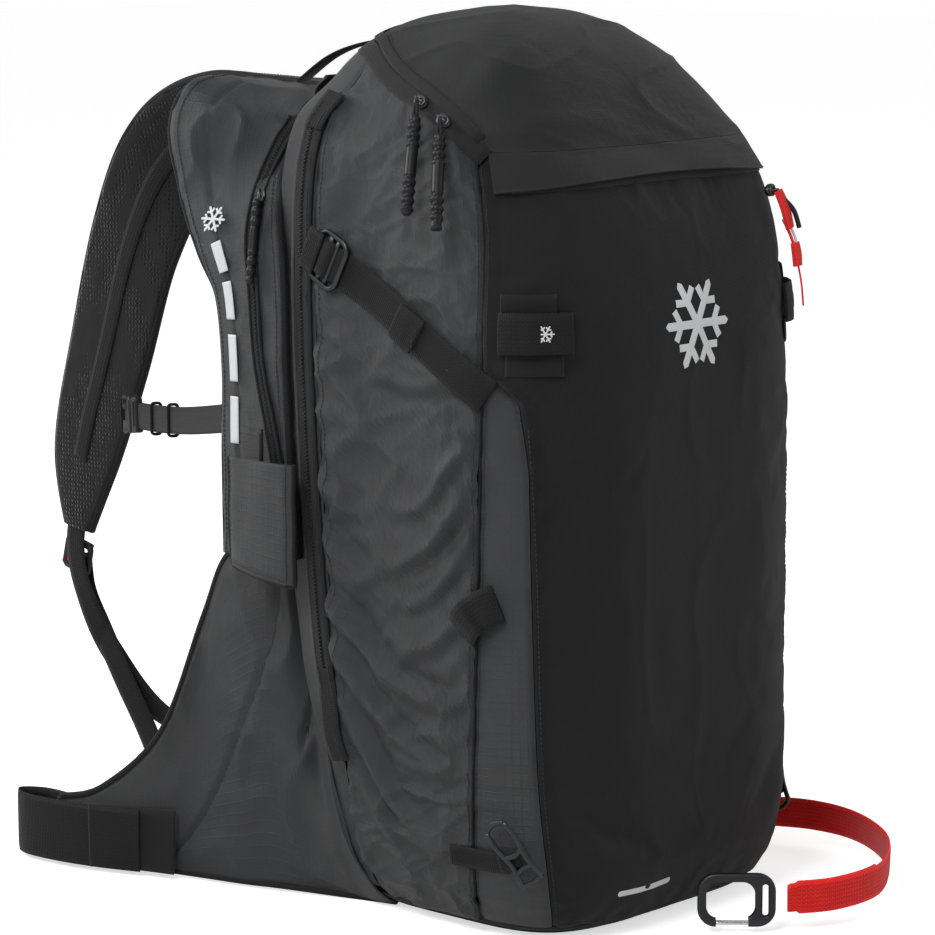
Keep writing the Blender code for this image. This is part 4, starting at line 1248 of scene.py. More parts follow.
LEFT_STRAP = (
    # centre, outward normal, width; the first station lies over the yoke
    ((-0.004, 0.176, 0.546), (0.0, -0.1, 1.0), 0.056),
    ((-0.040, 0.184, 0.549), (0.0, -0.1, 1.0), 0.074),
    ((-0.083, 0.185, 0.551), (-0.2, -0.2, 0.9), 0.080),
    ((-0.116, 0.182, 0.536), (-0.6, -0.5, 0.6), 0.092),
    ((-0.135, 0.167, 0.501), (-0.8, -0.3, 0.5), 0.080),
    ((-0.150, 0.148, 0.467), (-0.9, -0.1, 0.3), 0.072),
    ((-0.155, 0.132, 0.428), (-1.0, 0.05, 0.1), 0.068),
    ((-0.155, 0.128, 0.370), (-1.0, 0.1, 0.0), 0.066),
    ((-0.155, 0.127, 0.310), (-1.0, 0.05, 0.0), 0.067),
    ((-0.155, 0.124, 0.242), (-1.0, 0.0, 0.0), 0.069),
)
RIGHT_STRAP = (
    ((0.055, 0.158, 0.548), (0.0, -0.1, 1.0), 0.078),
    ((0.058, 0.215, 0.550), (0.0, 0.0, 1.0), 0.078),
    ((0.057, 0.285, 0.546), (0.2, 0.1, 1.0), 0.078),
    ((0.051, 0.360, 0.528), (0.6, 0.4, 0.6), 0.078),
    ((0.042, 0.419, 0.489), (0.9, 0.3, 0.2), 0.080),
    ((0.035, 0.454, 0.425), (1.0, 0.1, 0.0), 0.084),
    ((0.031, 0.482, 0.335), (1.0, 0.0, 0.0), 0.084),
    ((0.030, 0.511, 0.250), (1.0, 0.0, 0.0), 0.068),
    ((0.030, 0.521, 0.190), (1.0, 0.0, 0.0), 0.028),
)


def strap_root(side, sign):
    """Bodies and place where a shoulder strap bends away from the yoke."""
    if sign < 0:
        return ("pack_body", f"{side}_shoulder_strap", (-0.040, 0.18, 0.55), (-0.085, 0.18, 0.55))
    return ("pack_body", f"{side}_shoulder_strap", (0, 0.152, 0.553), (0, 0.192, 0.565))


def shoulder_strap(side, sign, stations, relief):
    grid, normals = strip(stations, 150, 34)
    lane = np.linspace(-1, 1, 35)[None, :]
    body = strap_root(side, sign)
    slot = "side_fabric"
    outer = grid + normals * 0.0022
    shell = padded(f"{side}_strap_outer", outer, normals, 0.0070, relief(grid, normals, lane), rim=0.30)
    place(shell, body, slot, GREY, (f"{side}_shoulder_strap",))
    inner = grid - normals * 0.0026
    crumple = 0.0006 * ripple(grid, 0.012, 2.0)
    lining = padded(f"{side}_strap_lining", inner, normals, 0.0056, 0.0, crumple, rim=0.30)
    place(lining, body, "padding", MESH)
    for edge in (0, -1):
        line = grid[:, edge]
        out = normals[:, edge]
        piping = rod(f"{side}_strap_binding_{edge % 2}", line, 0.0027, sides=10, flat=1.35, out=out)
        place(piping, body, "webbing", WEB)
    for edge in (2, -3):
        share = abs(lane[0, edge])
        level = 0.0022 + 0.0035 * (0.30 + 0.70 * math.sqrt(1 - share**3))
        line = grid[:, edge] + normals[:, edge] * (level + relief(grid, normals, lane)[:, edge])[:, None]
        stitches(f"{side}_strap_stitches_{edge % 2}", line, normals[:, edge], body)
    return grid, normals


def make_left_strap():
    def relief(grid, normals, lane):
        share = np.linspace(0, 1, len(grid))[:, None]
        height = 0.0012 * ripple(grid, 0.034, 7.0) + 0.0007 * ripple(grid * (1, 1, 0.4), 0.014, 3.0)
        slack = np.exp(-(((share - 0.34) / 0.13) ** 2))
        height = height + 0.0042 * slack * creases(grid * (1.0, 1.0, 1.2), 0.042, 3.0, 5.0)
        height = height + 0.0008 * creases(grid, 0.024, 8.0)
        channel = np.exp(-(((lane + 0.42) / 0.05) ** 2)) * ease((share - 0.18) / 0.1)
        gather = np.exp(-np.abs(lane + 0.42) / 0.30) * ripple(grid * (0.3, 0.3, 1.6), 0.012, 5.0)
        return height - 0.0016 * channel + 0.0011 * gather

    grid, normals = shoulder_strap("left", -1, LEFT_STRAP, relief)
    body = "left_shoulder_strap"
    front = -1 if grid[90, -1, 1] < grid[90, 0, 1] else 1

    def on_strap(share, lane, lift):
        """Point at a share of the strap's length and a lane from -1 (body edge) to 1."""
        row, column = share * (len(grid) - 1), (1 + front * lane) / 2 * (grid.shape[1] - 1)
        row, column = int(round(row)), int(round(column))
        return grid[row, column] + normals[row, column] * lift, normals[row, column]

    # Trigger zip: it curves down the strap's front edge and opens towards the handle.
    path = ((2.4, -0.88), (3.2, -0.84), (4.0, -0.76), (4.7, -0.58), (5.4, -0.36), (6.0, -0.28),
            (6.6, -0.28), (7.1, -0.42), (7.5, -0.60), (7.9, -0.76), (8.2, -0.88))
    steps = spline(path, np.linspace(0, 1, 60))
    run = [on_strap(station / (len(LEFT_STRAP) - 1), lane, 0.0064) for station, lane in steps]
    points, outs = np.array([p for p, _ in run]), np.array([n for _, n in run])
    points = np.stack([smoothed(points[:, axis], 7) for axis in range(3)], axis=1)
    stations = [(p, n, 0.010) for p, n in zip(points[::4], outs[::4])]
    place(webbing("trigger_zip_tape", stations, 0.0012, steps=60), body, "zip_tape", TAPE)
    zip_chain("trigger_zip_teeth", points + outs * 0.0008, outs, body, width=0.0034, pitch=0.0013)
    across = unit(np.cross(outs, np.gradient(points, axis=0)))
    for side in (-1, 1):
        lip = points + outs * 0.0006 + across * 0.0046 * side
        place(rod(f"trigger_zip_lip_{side + 1}", even(lip, 0.003), 0.0013, sides=8), body, "webbing", WEB)

    slider = middle("trigger_zip_slider")
    head = make_slider("trigger_zip_slider_head", slider, (-0.85, -0.2, 0.4), (0.28, 0.42, 0.86), 0.8)
    place(head, "trigger_zip_slider", "slider_metal", STEEL, ("trigger_zip_slider",))
    shares = np.linspace(0, 1, 14)
    hang = [slider + np.array((-0.0045 - 0.014 * s, -0.006 * s, -0.002 - 0.056 * s)) for s in shares]
    place(ribbed_pull("trigger_zip_pull", hang, 0.0030), "trigger_zip_slider", "webbing", SLEEVE)

    # Cover flap over the trigger handle.
    low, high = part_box("trigger_cover")
    x = low[0] + 0.0011
    rows, columns = 44, 34
    u, v = np.meshgrid(np.linspace(0, 1, columns), np.linspace(0, 1, rows))
    flap = np.stack([np.full(u.shape, x), lerp(low[1], high[1], u), lerp(high[2], low[2], v)], axis=-1)
    flap[..., 2] -= 0.010 * (1 - u) * v
    bulge = 0.0030 * np.sin(np.pi * u) * (0.4 + 0.6 * v)
    flap[..., 0] -= bulge + 0.0010 * ripple(flap * (0, 1, 1), 0.022, 6.0)
    flap[..., 0] += 0.0035 * ease((u - 0.86) / 0.14) + 0.0028 * ease((0.10 - u) / 0.10)
    outs = np.broadcast_to(np.array((-1.0, 0.0, 0.0)), flap.shape)
    shell = padded("trigger_cover_flap", flap, outs, 0.0034, rim=0.7)
    place(shell, "trigger_cover", "side_fabric", GREY, ("trigger_cover",))
    hem = np.concatenate([flap[:, 0], flap[-1, 1:-1], flap[::-1, -1]])
    place(rod("trigger_cover_hem", even(hem, 0.003), 0.0017, sides=8), "trigger_cover", "webbing", WEB)
    inner = flap[2:-2, 2:-2]
    rim = np.concatenate([inner[:, 0], inner[-1, 1:-1], inner[::-1, -1]]) - np.array((0.0022, 0, 0))
    stitches("trigger_cover_stitches", rim, np.tile((-1.0, 0, 0), (len(rim), 1)), "trigger_cover")

    # Trigger handle: a T grip with finger grooves, on its cable.
    handle = middle("trigger_handle")
    grip = [handle + np.array((0.0, 0.0, z)) for z in np.linspace(-0.033, 0.033, 31)]
    swell = 0.0046 + 0.0009 * np.cos(np.linspace(0, 8 * np.pi, 31))
    held = rod("trigger_grip", grip, swell, sides=18)
    place(held, "trigger_handle", "red_plastic", RED_PLASTIC, ("trigger_handle",))
    cable = [handle + np.array((0.0, 0.0, z)) for z in np.linspace(0.033, 0.060, 6)]
    place(rod("trigger_cable", cable, 0.0016, sides=10), "trigger_handle", "webbing", SLEEVE)

    # Reflective dashes down the strap.
    for index, share in enumerate((0.605, 0.685, 0.765, 0.845)):
        run = [on_strap(share + d, 0.46, 0.0072) for d in (-0.030, -0.015, 0.0, 0.015, 0.030)]
        stations = [(p, n, 0.0085) for p, n in run]
        dash = webbing(f"strap_dash_{index}", stations, 0.0006, steps=12)
        place(dash, body, "side_fabric", PRINT)
    spot, out = on_strap(0.535, 0.42, 0.0078)
    make_crystal("strap_mark", spot, out, 0.0105, 0.0005, body)

    # Webbing that hangs from the strap's end to the belt.
    lock = middle("left_ladder_lock")
    make_ladder_lock("left_ladder_lock", lock, (1, 0, 0), (0, 0, 1), body)
    path = (
        (0, 0, 0.020), (0, 0, -0.010), (0.012, 0.010, -0.040), (0.020, 0.014, -0.080), (0.018, 0.010, -0.120),
    )
    stations = [(lock + np.array(step), (-1.0, 0.0, 0.0), STRAP_WIDTH) for step in path]
    place(webbing("left_lower_webbing", stations), body, "webbing", WEB)


def make_right_strap():
    def relief(grid, normals, lane):
        return 0.0010 * ripple(grid, 0.032, 17.0) - 0.0012 * np.exp(-((lane / 0.04) ** 2))

    grid, normals = shoulder_strap("right", 1, RIGHT_STRAP, relief)
    body = "right_shoulder_strap"
    rail = grid[20:140, 17] - normals[20:140, 17] * 0.0062
    stations = [(p, n, 0.015) for p, n in zip(rail[::8], -normals[20:140:8, 17])]
    place(webbing("right_strap_daisy_webbing", stations, 0.0014, steps=90), body, "webbing", WEB)
    lock = middle("right_ladder_lock")
    make_ladder_lock("right_ladder_lock", lock, (1, 0, 0), (0, -0.25, 1), body)
    path = (
        (0.0290, 0.518, 0.212), (0.0262, 0.522, 0.176), (0.0262, 0.513, 0.140), (0.036, 0.492, 0.092),
        (0.050, 0.450, 0.045), (0.075, 0.380, 0.022), (0.100, 0.290, 0.028), (0.114, 0.220, 0.050),
    )
    outs = (
        (1, 0, 0), (1, 0, 0), (1, 0, 0), (1, 0.4, 0.1),
        (0.9, 0.6, 0.5), (0.5, 0.3, 1), (0.6, 0.2, 0.8), (0.9, 0.1, 0.4),
    )
    stations = [(point, out, STRAP_WIDTH) for point, out in zip(path, outs)]
    place(webbing("right_lower_webbing", stations, steps=110), body, "webbing", WEB, ("right_lower_webbing",))
    tail = (
        (0.0340, 0.524, 0.168), (0.0345, 0.520, 0.140), (0.0330, 0.500, 0.110), (0.0360, 0.478, 0.070),
        (0.0400, 0.462, 0.040), (0.0420, 0.452, 0.020),
    )
    stations = [(point, (1, 0.2, 0.1), STRAP_WIDTH) for point in tail]
    place(webbing("right_webbing_tail", stations, steps=60), body, "webbing", WEB)
    tab = [lock + np.array((0.0, 0.006 + 0.010 * s, 0.012 - 0.020 * s)) for s in np.linspace(0, 1, 5)]
    stations = [(point, (1, 0, 0), 0.007) for point in tab]
    place(webbing("right_lock_tab", stations, 0.0018, steps=10), body, "red_webbing", RED_WEB)


def make_ladder_lock(name, centre, out, along, body):
    """Moulded adjuster: a frame with a thick lip and two bars, leaning as webbing pulls it."""
    holes = [rounded_rectangle(0.0225, 0.0055, 0.0018, (0.0, shift), 3) for shift in (-0.0060, 0.0062)]
    outline = rounded_rectangle(0.031, 0.027, 0.0055)
    frame_plate = plate(name + "_frame", [outline, *holes], 0.0036, edge=0.0009)
    stand(frame_plate, centre, out, along)
    place(frame_plate, body, "moulded_plastic", PLASTIC, (name,))
    out, along = unit(np.array(out, float)), unit(np.array(along, float))
    across = np.cross(out, along)
    for label, shift, lift, radius in (("lip", 0.0118, 0.0016, 0.0022), ("grip", 0.0, 0.0014, 0.0016)):
        ends = [centre + along * shift + out * lift + across * x for x in np.linspace(-0.0125, 0.0125, 9)]
        place(rod(f"{name}_{label}", ends, radius, sides=12), body, "moulded_plastic", PLASTIC)


def make_yoke():
    """Padded panel that joins the straps over the top of the back."""
    u, v = np.meshgrid(np.linspace(0, 1, 60), np.linspace(0, 1, 24))
    low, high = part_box("yoke_panel")
    x = lerp(0.104, -0.086, u)
    depth = np.full(u.shape, (low[1] + high[1]) / 2 + 0.001)
    grid = np.stack([x, depth, lerp(low[2] - 0.004, high[2] + 0.008, v)], axis=-1)
    grid[..., 1] -= 0.006 * (np.abs(x) / 0.104) ** 4 + 0.012 * ease((v - 0.8) / 0.2) ** 2
    outs = np.broadcast_to(np.array((0.0, 1.0, 0.0)), grid.shape)
    pad = padded("yoke_cover", grid, outs, 0.0050, 0.0006 * ripple(grid, 0.02, 3.0), rim=0.4)
    place(pad, "pack_body", "side_fabric", GREY, ("yoke_panel",))


def make_sternum_strap():
    body = "sternum_strap"
    start = np.array((0.0205, 0.462, 0.289))
    across = np.array((-0.146, 0.168, 0.332)) - start
    start = start + across * 0.02
    normal = unit(np.cross((0.0, 0.0, 1.0), across))

    def hung(share, lift=0.0):
        sag = np.array((0, 0, -0.004)) * math.sin(math.pi * share)
        return start + across * share + sag + normal * lift

    stations = [(hung(share), normal, STRAP_WIDTH) for share in np.linspace(0.150, 0.97, 12)]
    place(webbing("sternum_strap_webbing", stations, steps=90), body, "webbing", WEB, ("sternum_webbing",))
    stations = [(hung(share, 0.0026), normal, STRAP_WIDTH) for share in np.linspace(0.17, 0.52, 8)]
    place(webbing("sternum_strap_tail", stations, steps=50), body, "webbing", WEB)
    for index, share in enumerate((0.34, 0.50)):
        centre = hung(share, 0.0014)
        outline = rounded_rectangle(0.0235, 0.0074, 0.0025)
        loop = [centre + normal * y + np.array((0, 0, x)) for x, y in outline]
        ring = rod(f"sternum_keeper_{index}", np.array(loop), 0.0012, sides=8, cyclic=True)
        place(ring, body, "webbing", WEB)
    # Side-release buckle: a body with two arms' windows and a plug.
    centre = hung(0.09)
    along = unit(across)
    hole = [rounded_rectangle(0.006, 0.012, 0.002, (side * 0.0095, 0.0), 3) for side in (-1, 1)]
    shell = plate("sternum_buckle_body", [rounded_rectangle(0.029, 0.030, 0.006), *hole], 0.0088, edge=0.0022)
    stand(shell, centre + along * 0.004, normal, along)
    place(shell, body, "moulded_plastic", PLASTIC, ("sternum_buckle",))
    slot = [rounded_rectangle(0.020, 0.0045, 0.0015, (0.0, 0.002), 3)]
    plug = plate("sternum_buckle_plug", [rounded_rectangle(0.028, 0.016, 0.004), *slot], 0.0064, edge=0.0016)
    stand(plug, centre + along * 0.0265, normal, along)
    place(plug, body, "moulded_plastic", PLASTIC)
    core = plate("sternum_buckle_core", [rounded_rectangle(0.024, 0.024, 0.004)], 0.0050, edge=0.0010)
    stand(core, centre + along * 0.006, normal, along)
    place(core, body, "moulded_plastic", SLEEVE)


def make_back_pads():
    """Foam pads under spacer mesh, with pressed channels, flat where they touch the back."""
    for name in ("left_back_pad", "right_back_pad", "lumbar_pad"):
        piece_name = name + "_cover"
        low, high = bounds(name)
        centre, size = (low + high) / 2, high - low
        columns, rows = 64, int(64 * max(size[2] / size[0], 0.8))
        u, v = np.meshgrid(np.linspace(-1, 1, columns), np.linspace(-1, 1, rows))
        reach = np.maximum(np.abs(u), np.abs(v)) / length_of(u, v, 7.0)
        x, z = u * reach * size[0] / 2, v * reach * size[2] / 2
        rim = np.clip(1 - np.maximum(np.abs(u), np.abs(v)), 0, 1)
        crown = np.clip(rim / 0.30, 0, 1)
        depth = low[1] + 0.004 + (size[1] - 0.0042) * np.sqrt(1 - (1 - crown) ** 2)
        grid = np.stack([centre[0] - x, depth, centre[2] + z], axis=-1)
        channels = np.zeros(u.shape)
        if name == "lumbar_pad":
            channels = np.exp(-((u / 0.05) ** 2)) + np.exp(-(((np.abs(u) - 0.52) / 0.035) ** 2))
        else:
            for level in (-0.62, -0.22, 0.18, 0.58):
                channels = channels + np.exp(-(((v - level - 0.10 * np.abs(u)) / 0.022) ** 2))
        grid[..., 1] -= 0.0055 * np.clip(channels, 0, 1) * np.clip(crown * 1.4 - 0.4, 0, 1)
        grid[..., 1] += 0.0004 * ripple(grid, 0.014, 3.0)
        faces = grid_faces(rows, columns)
        pad = mesh_object(piece_name, grid.reshape(-1, 3), faces, grid_uvs(grid))
        shell = pad.modifiers.new("Thickness", "SOLIDIFY")
        shell.thickness = 0.0018
        shell.offset = -1.0
        place(pad, "pack_body", "padding", MESH, (name,))
        border = np.concatenate([grid[0, :-1], grid[:-1, -1], grid[-1, :0:-1], grid[:0:-1, 0]])
        border = even(np.concatenate([border, border[:1]]), 0.004)[:-1] + np.array((0, 0.0006, 0))
        place(rod(piece_name + "_piping", border, 0.0022, sides=8, cyclic=True), "pack_body", "webbing", WEB)


# ---------------------------------------------------------------- hip belt and leg loop

WING_UPPER = (
    (-0.137, 0.124, 0.254), (-0.141, 0.170, 0.236), (-0.144, 0.194, 0.188),
    (-0.160, 0.222, 0.104), (-0.176, 0.268, 0.058), (-0.186, 0.302, 0.047),
)
WING_LOWER = (
    (-0.136, 0.124, 0.002), (-0.146, 0.155, 0.002), (-0.154, 0.189, 0.002),
    (-0.163, 0.225, 0.002), (-0.176, 0.268, 0.002), (-0.186, 0.302, 0.002),
)
WING_ROOT = ((0.645, 0.045), (0.660, 0.110), (0.682, 0.190), (0.700, 0.255), (0.706, 0.300), (0.706, 0.385))
BELT_LOOP = (
    ((-0.1770, 0.230, 0.025), (-1.0, -0.2, 0.0)), ((-0.1880, 0.262, 0.025), (-1.0, -0.2, 0.0)),
    ((-0.1955, 0.298, 0.025), (-1.0, -0.1, 0.0)), ((-0.1965, 0.330, 0.025), (-1.0, 0.2, 0.0)),
    ((-0.1870, 0.3455, 0.025), (0.0, 1.0, 0.0)), ((-0.1765, 0.330, 0.025), (1.0, 0.2, 0.0)),
    ((-0.1760, 0.302, 0.025), (1.0, 0.2, 0.0)), ((-0.1770, 0.280, 0.025), (1.0, 0.1, 0.0)),
)


def wing_grid(columns, rows):
    """Middle surface of the left wing: sewn to the body's rear seam, then out to its tip."""
    v = np.linspace(0, 1, rows)
    turn, rise = spline(WING_ROOT, v).T
    root = skin(turn, rise) + skin_normal(turn, rise) * 0.0018
    over = skin(turn + 0.045, rise) + skin_normal(turn + 0.045, rise) * 0.0042
    knots = [root, over]
    for low, high in zip(WING_LOWER, WING_UPPER):
        knots.append(lerp(np.array(low), np.array(high), v[:, None] ** 0.9))
    grid = spline(np.array(knots), np.linspace(0, 1, columns))
    return np.swapaxes(grid, 0, 1)


def make_hip_belt():
    for side, sign in SIDES:
        grid = wing_grid(110, 70)
        if sign > 0:
            grid = grid[:, ::-1] * (-1, 1, 1)
        normals = grid_normals(grid)
        u, v = np.meshgrid(np.linspace(0, 1, 110), np.linspace(0, 1, 70))
        u = u if sign < 0 else 1 - u
        thickness = 0.0022 + 0.0062 * ease((u - 0.18) / 0.25)
        height = 0.0020 * ripple(grid, 0.045, 3.0) + 0.0007 * ripple(grid, 0.018, 8.0)
        height += 0.0030 * creases(grid * (1.0, 1.0, 0.5), 0.050, 6.0) * ease((0.75 - u) / 0.3)
        seam = 0.20 + 0.62 * (1 - v) ** 2.2 * 0.9 + 0.10 * v
        height -= 0.0022 * np.exp(-(((u - seam) / 0.012) ** 2))
        height += 0.0010 * np.exp(-np.abs(u - seam) / 0.05) * ripple(grid * (0.4, 0.4, 1.8), 0.013, 1.0)
        slit = 0.10 + 0.24 * (1 - v)
        height -= 0.0034 * bell(u - slit, 0.006) * ease((v - 0.42) / 0.1) * ease((0.95 - v) / 0.1)
        height *= np.minimum(ease(v / 0.06), ease((1 - v) / 0.06))
        half = thickness / 2 * (0.4 + 0.6 * np.minimum(ease(v / 0.12), ease((1 - v) / 0.08)))
        outer = grid + normals * (half + height)[..., None]
        rings = np.concatenate([outer, (grid - normals * half[..., None])[::-1]])
        name = side + "_hip_wing"
        hinge = ("pack_body", name, (sign * 0.13, 0.098, 0.10), (sign * 0.14, 0.150, 0.10))
        wing = ring_mesh(name + "_cover", np.swapaxes(rings, 0, 1))
        place(wing, hinge, "side_fabric", GREY, (name,))
        upper = even(grid[-1], 0.003)
        place(rod(name + "_binding", upper, 0.0030, sides=10), hinge, "webbing", WEB)
        lower = even(grid[0] + np.array((0, 0, 0.001)), 0.003)
        place(rod(name + "_lower_binding", lower, 0.0024, sides=10), hinge, "webbing", WEB)
        tip = grid[:, -1] if sign < 0 else grid[:, 0]
        place(rod(name + "_tip_binding", even(tip, 0.003), 0.0036, sides=10), name, "webbing", WEB)
        columns = np.clip((seam[:, 0] * 109).astype(int), 0, 109)
        columns = columns if sign < 0 else 109 - columns
        rows = np.arange(6, 64)
        line = (grid + normals * (half + height)[..., None])[rows, columns[rows]]
        stitches(name + "_seam_stitches", line, normals[rows, columns[rows]], hinge)

        stations = [(np.array(c) * (-sign, 1, 1), np.array(n) * (-sign, 1, 1), 0.045) for c, n in BELT_LOOP]
        loop = webbing(side + "_hip_loop", stations, 0.0024, steps=110, lanes=10)
        place(loop, name, "webbing", WEB, (side + "_hip_webbing",))
        patch = [(np.array(c) * (-sign, 1, 1), np.array(n) * (-sign, 1, 1), 0.046) for c, n in (
            ((-0.1660, 0.205, 0.026), (-1.0, -0.3, 0.1)), ((-0.1780, 0.238, 0.026), (-1.0, -0.3, 0.0)),
            ((-0.1905, 0.268, 0.0255), (-1.0, -0.2, 0.0)))]
        place(webbing(side + "_hip_patch", patch, 0.0016, steps=30, lanes=8), name, "webbing", HEM)


def make_hip_buckle():
    """Flat metal hook for the belt, on its webbing slot."""
    low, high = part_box("hip_buckle_hook")
    centre = np.array((low + high) / 2)
    hole = rounded_rectangle(0.030, 0.0055, 0.0020, (0.0, -0.0105), 4)
    eye = rounded_rectangle(0.018, 0.008, 0.003, (0.0, 0.005), 4)
    hook = plate("hip_hook", [rounded_rectangle(0.043, 0.0305, 0.009), hole, eye], 0.0034, edge=0.0010)
    stand(hook, centre, (1, 0, 0), (0, 1, 0))
    place(hook, "hip_buckle_hook", "buckle_metal", ANODISED, ("hip_buckle_hook",))


CARABINER_ALONG = unit(np.array((0.66, -0.75, 0.0)))


def make_leg_loop():
    height = 0.0225
    carabiner = np.array((-0.006, -0.176, 0.0215))
    end = carabiner + CARABINER_ALONG * 0.0345
    path = (
        (0.138, 0.105), (0.160, 0.030), (0.186, -0.030), (0.206, -0.080), (0.198, -0.128),
        (0.160, -0.180), (0.100, -0.218), (0.050, -0.220), (end[0], end[1]),
    )
    line = spline([(x, y, height) for x, y in path], np.linspace(0, 1, 140))
    along = np.gradient(line, axis=0)
    outs = unit(np.cross(along, (0.0, 0.0, 1.0)))
    sway = 0.05 * np.sin(np.linspace(0, 5 * np.pi, 140))[:, None]
    across = unit(np.array((0.0, 0.0, 1.0)) + outs * sway)
    lane = np.linspace(-0.5, 0.5, 9)[None, :, None]
    width = np.where(np.linspace(0, 1, 140) > 0.965, 0.019, 0.022)[:, None, None]
    grid = line[:, None] + across[:, None] * width * lane
    normals = grid_normals(grid)
    crumple = 0.00025 * ripple(grid, 0.01, 1.0)
    strap = padded("leg_loop_strap", grid, normals, 0.0022, crumple, rim=0.55, power=8.0)
    place(strap, "leg_loop", "red_webbing", RED_WEB, ("leg_loop_webbing",))
    folded = grid[106:138] + normals[106:138] * 0.0024
    second = padded("leg_loop_fold", folded, normals[106:138], 0.0021, rim=0.55, power=8.0)
    place(second, "leg_loop", "red_webbing", RED_WEB)
    for index, row in enumerate((108, 112, 134)):
        run = grid[row, 1:-1] + normals[row, 1:-1] * 0.0036
        stitches(f"leg_loop_stitches_{index}", run, normals[row, 1:-1], "leg_loop",
                 pitch=0.0022, length=0.0018, look=RED_WEB)

    normal = np.cross(CARABINER_ALONG, (0.0, 0.0, 1.0))
    make_carabiner(carabiner, normal)


def make_carabiner(centre, normal):
    """Flat forged body with a webbing slot at one end and a sprung wire gate along the bottom."""
    def at(along, up, out=0.0):
        return centre + CARABINER_ALONG * along + np.array((0.0, 0.0, up)) + normal * out

    outer = rounded_rectangle(0.053, 0.037, 0.0125, steps=8)
    inner = rounded_rectangle(0.033, 0.0255, 0.0085, (-0.0040, -0.0002), steps=8)
    slot = rounded_rectangle(0.0040, 0.0220, 0.0018, (0.0195, 0.0), steps=4)
    body = plate("carabiner_frame", [outer, inner, slot], 0.0058, edge=0.0016)
    x_axis, y_axis = Vector(CARABINER_ALONG), Vector((0, 0, 1))
    turn = Matrix((x_axis, y_axis, x_axis.cross(y_axis))).transposed().to_4x4()
    body.data.transform(Matrix.Translation(Vector(centre)) @ turn)
    cut = bpy.data.meshes.new("gate_gap")
    bm = bmesh.new()
    bmesh.ops.create_cube(bm, size=1.0)
    bm.to_mesh(cut)
    bm.free()
    cutter = bpy.data.objects.new("gate_gap", cut)
    bpy.context.scene.collection.objects.link(cutter)
    cut.transform(Matrix.Diagonal((0.022, 0.0085, 0.012, 1.0)))
    cut.transform(Matrix.Translation(Vector(at(-0.003, -0.0155))) @ turn)
    gap = body.modifiers.new("Gate", "BOOLEAN")
    gap.operation = "DIFFERENCE"
    gap.object = cutter
    bpy.context.view_layer.update()
    made = bpy.data.meshes.new_from_object(body.evaluated_get(bpy.context.evaluated_depsgraph_get()))
    body.modifiers.remove(gap)
    body.data = made
    bpy.data.objects.remove(cutter)
    made.shade_smooth()
    made.set_sharp_from_angle(angle=math.radians(35))
    place(body, "carabiner", "buckle_metal", ANODISED, ("carabiner_body",))
    wire = [at(0.0100, -0.0160, 0.0016), at(0.0, -0.0160, 0.0018), at(-0.0125, -0.0158, 0.0016),
            at(-0.0150, -0.0155, 0.0), at(-0.0125, -0.0158, -0.0016), at(0.0, -0.0160, -0.0018), at(0.0100, -0.0160, -0.0016)]
    shares = np.linspace(0, 1, 40)
    gate = rod("carabiner_wire_gate", spline(wire, shares), 0.0011, sides=10)
    place(gate, "carabiner_gate", "gate_wire", WIRE, ("carabiner_gate",))


# ---------------------------------------------------------------- fittings


def make_slider(name, centre, out, along, size=1.0):
    """Zip slider: a shield-shaped body with a bridge over it."""
    out, along = unit(np.array(out, float)), unit(np.array(along, float))
    across = np.cross(out, along)
    outline = []
    for share in np.linspace(0, 1, 25)[:-1]:
        angle = 2 * math.pi * share
        wide = 0.0040 * (1.0 + 0.18 * math.sin(angle))
        outline.append((wide * math.cos(angle) * size, 0.0056 * math.sin(angle) * size))
    body = plate(name + "_body", [outline], 0.0034 * size, edge=0.0009 * size)
    stand(body, centre, out, along)
    arch = [centre + along * y * size + out * z * size for y, z in (
        (-0.0042, 0.0016), (-0.0036, 0.0034), (-0.0010, 0.0044), (0.0022, 0.0042), (0.0042, 0.0030), (0.0046, 0.0014))]
    bridge = rod(name + "_bridge", spline(arch, np.linspace(0, 1, 16)), 0.0008 * size, sides=8)
    ring = [centre + along * (-0.0030 + 0.0026 * math.sin(a)) * size + across * 0.0026 * math.cos(a) * size + out * 0.0034 * size
            for a in np.linspace(0, 2 * math.pi, 20, endpoint=False)]
    loop = rod(name + "_ring", ring, 0.0006 * size, sides=8, cyclic=True)
    return join(name, [body, bridge, loop])


def ribbed_pull(name, line, radius):
    """Moulded zip pull: ribbed grip, smooth sleeve in the middle and a ribbed end."""
    line = even(np.array(line), 0.0007)
    share = np.linspace(0, 1, len(line))
    rib = 0.16 * np.sin(share * len(line) * 0.7 / 1.1) * ((share < 0.34) | (share > 0.62))
    shape = 0.62 + 0.38 * ease(share / 0.06) + rib
    shape *= np.where(share > 0.97, 0.85, 1.0)
    return rod(name, line, radius * shape, sides=12)


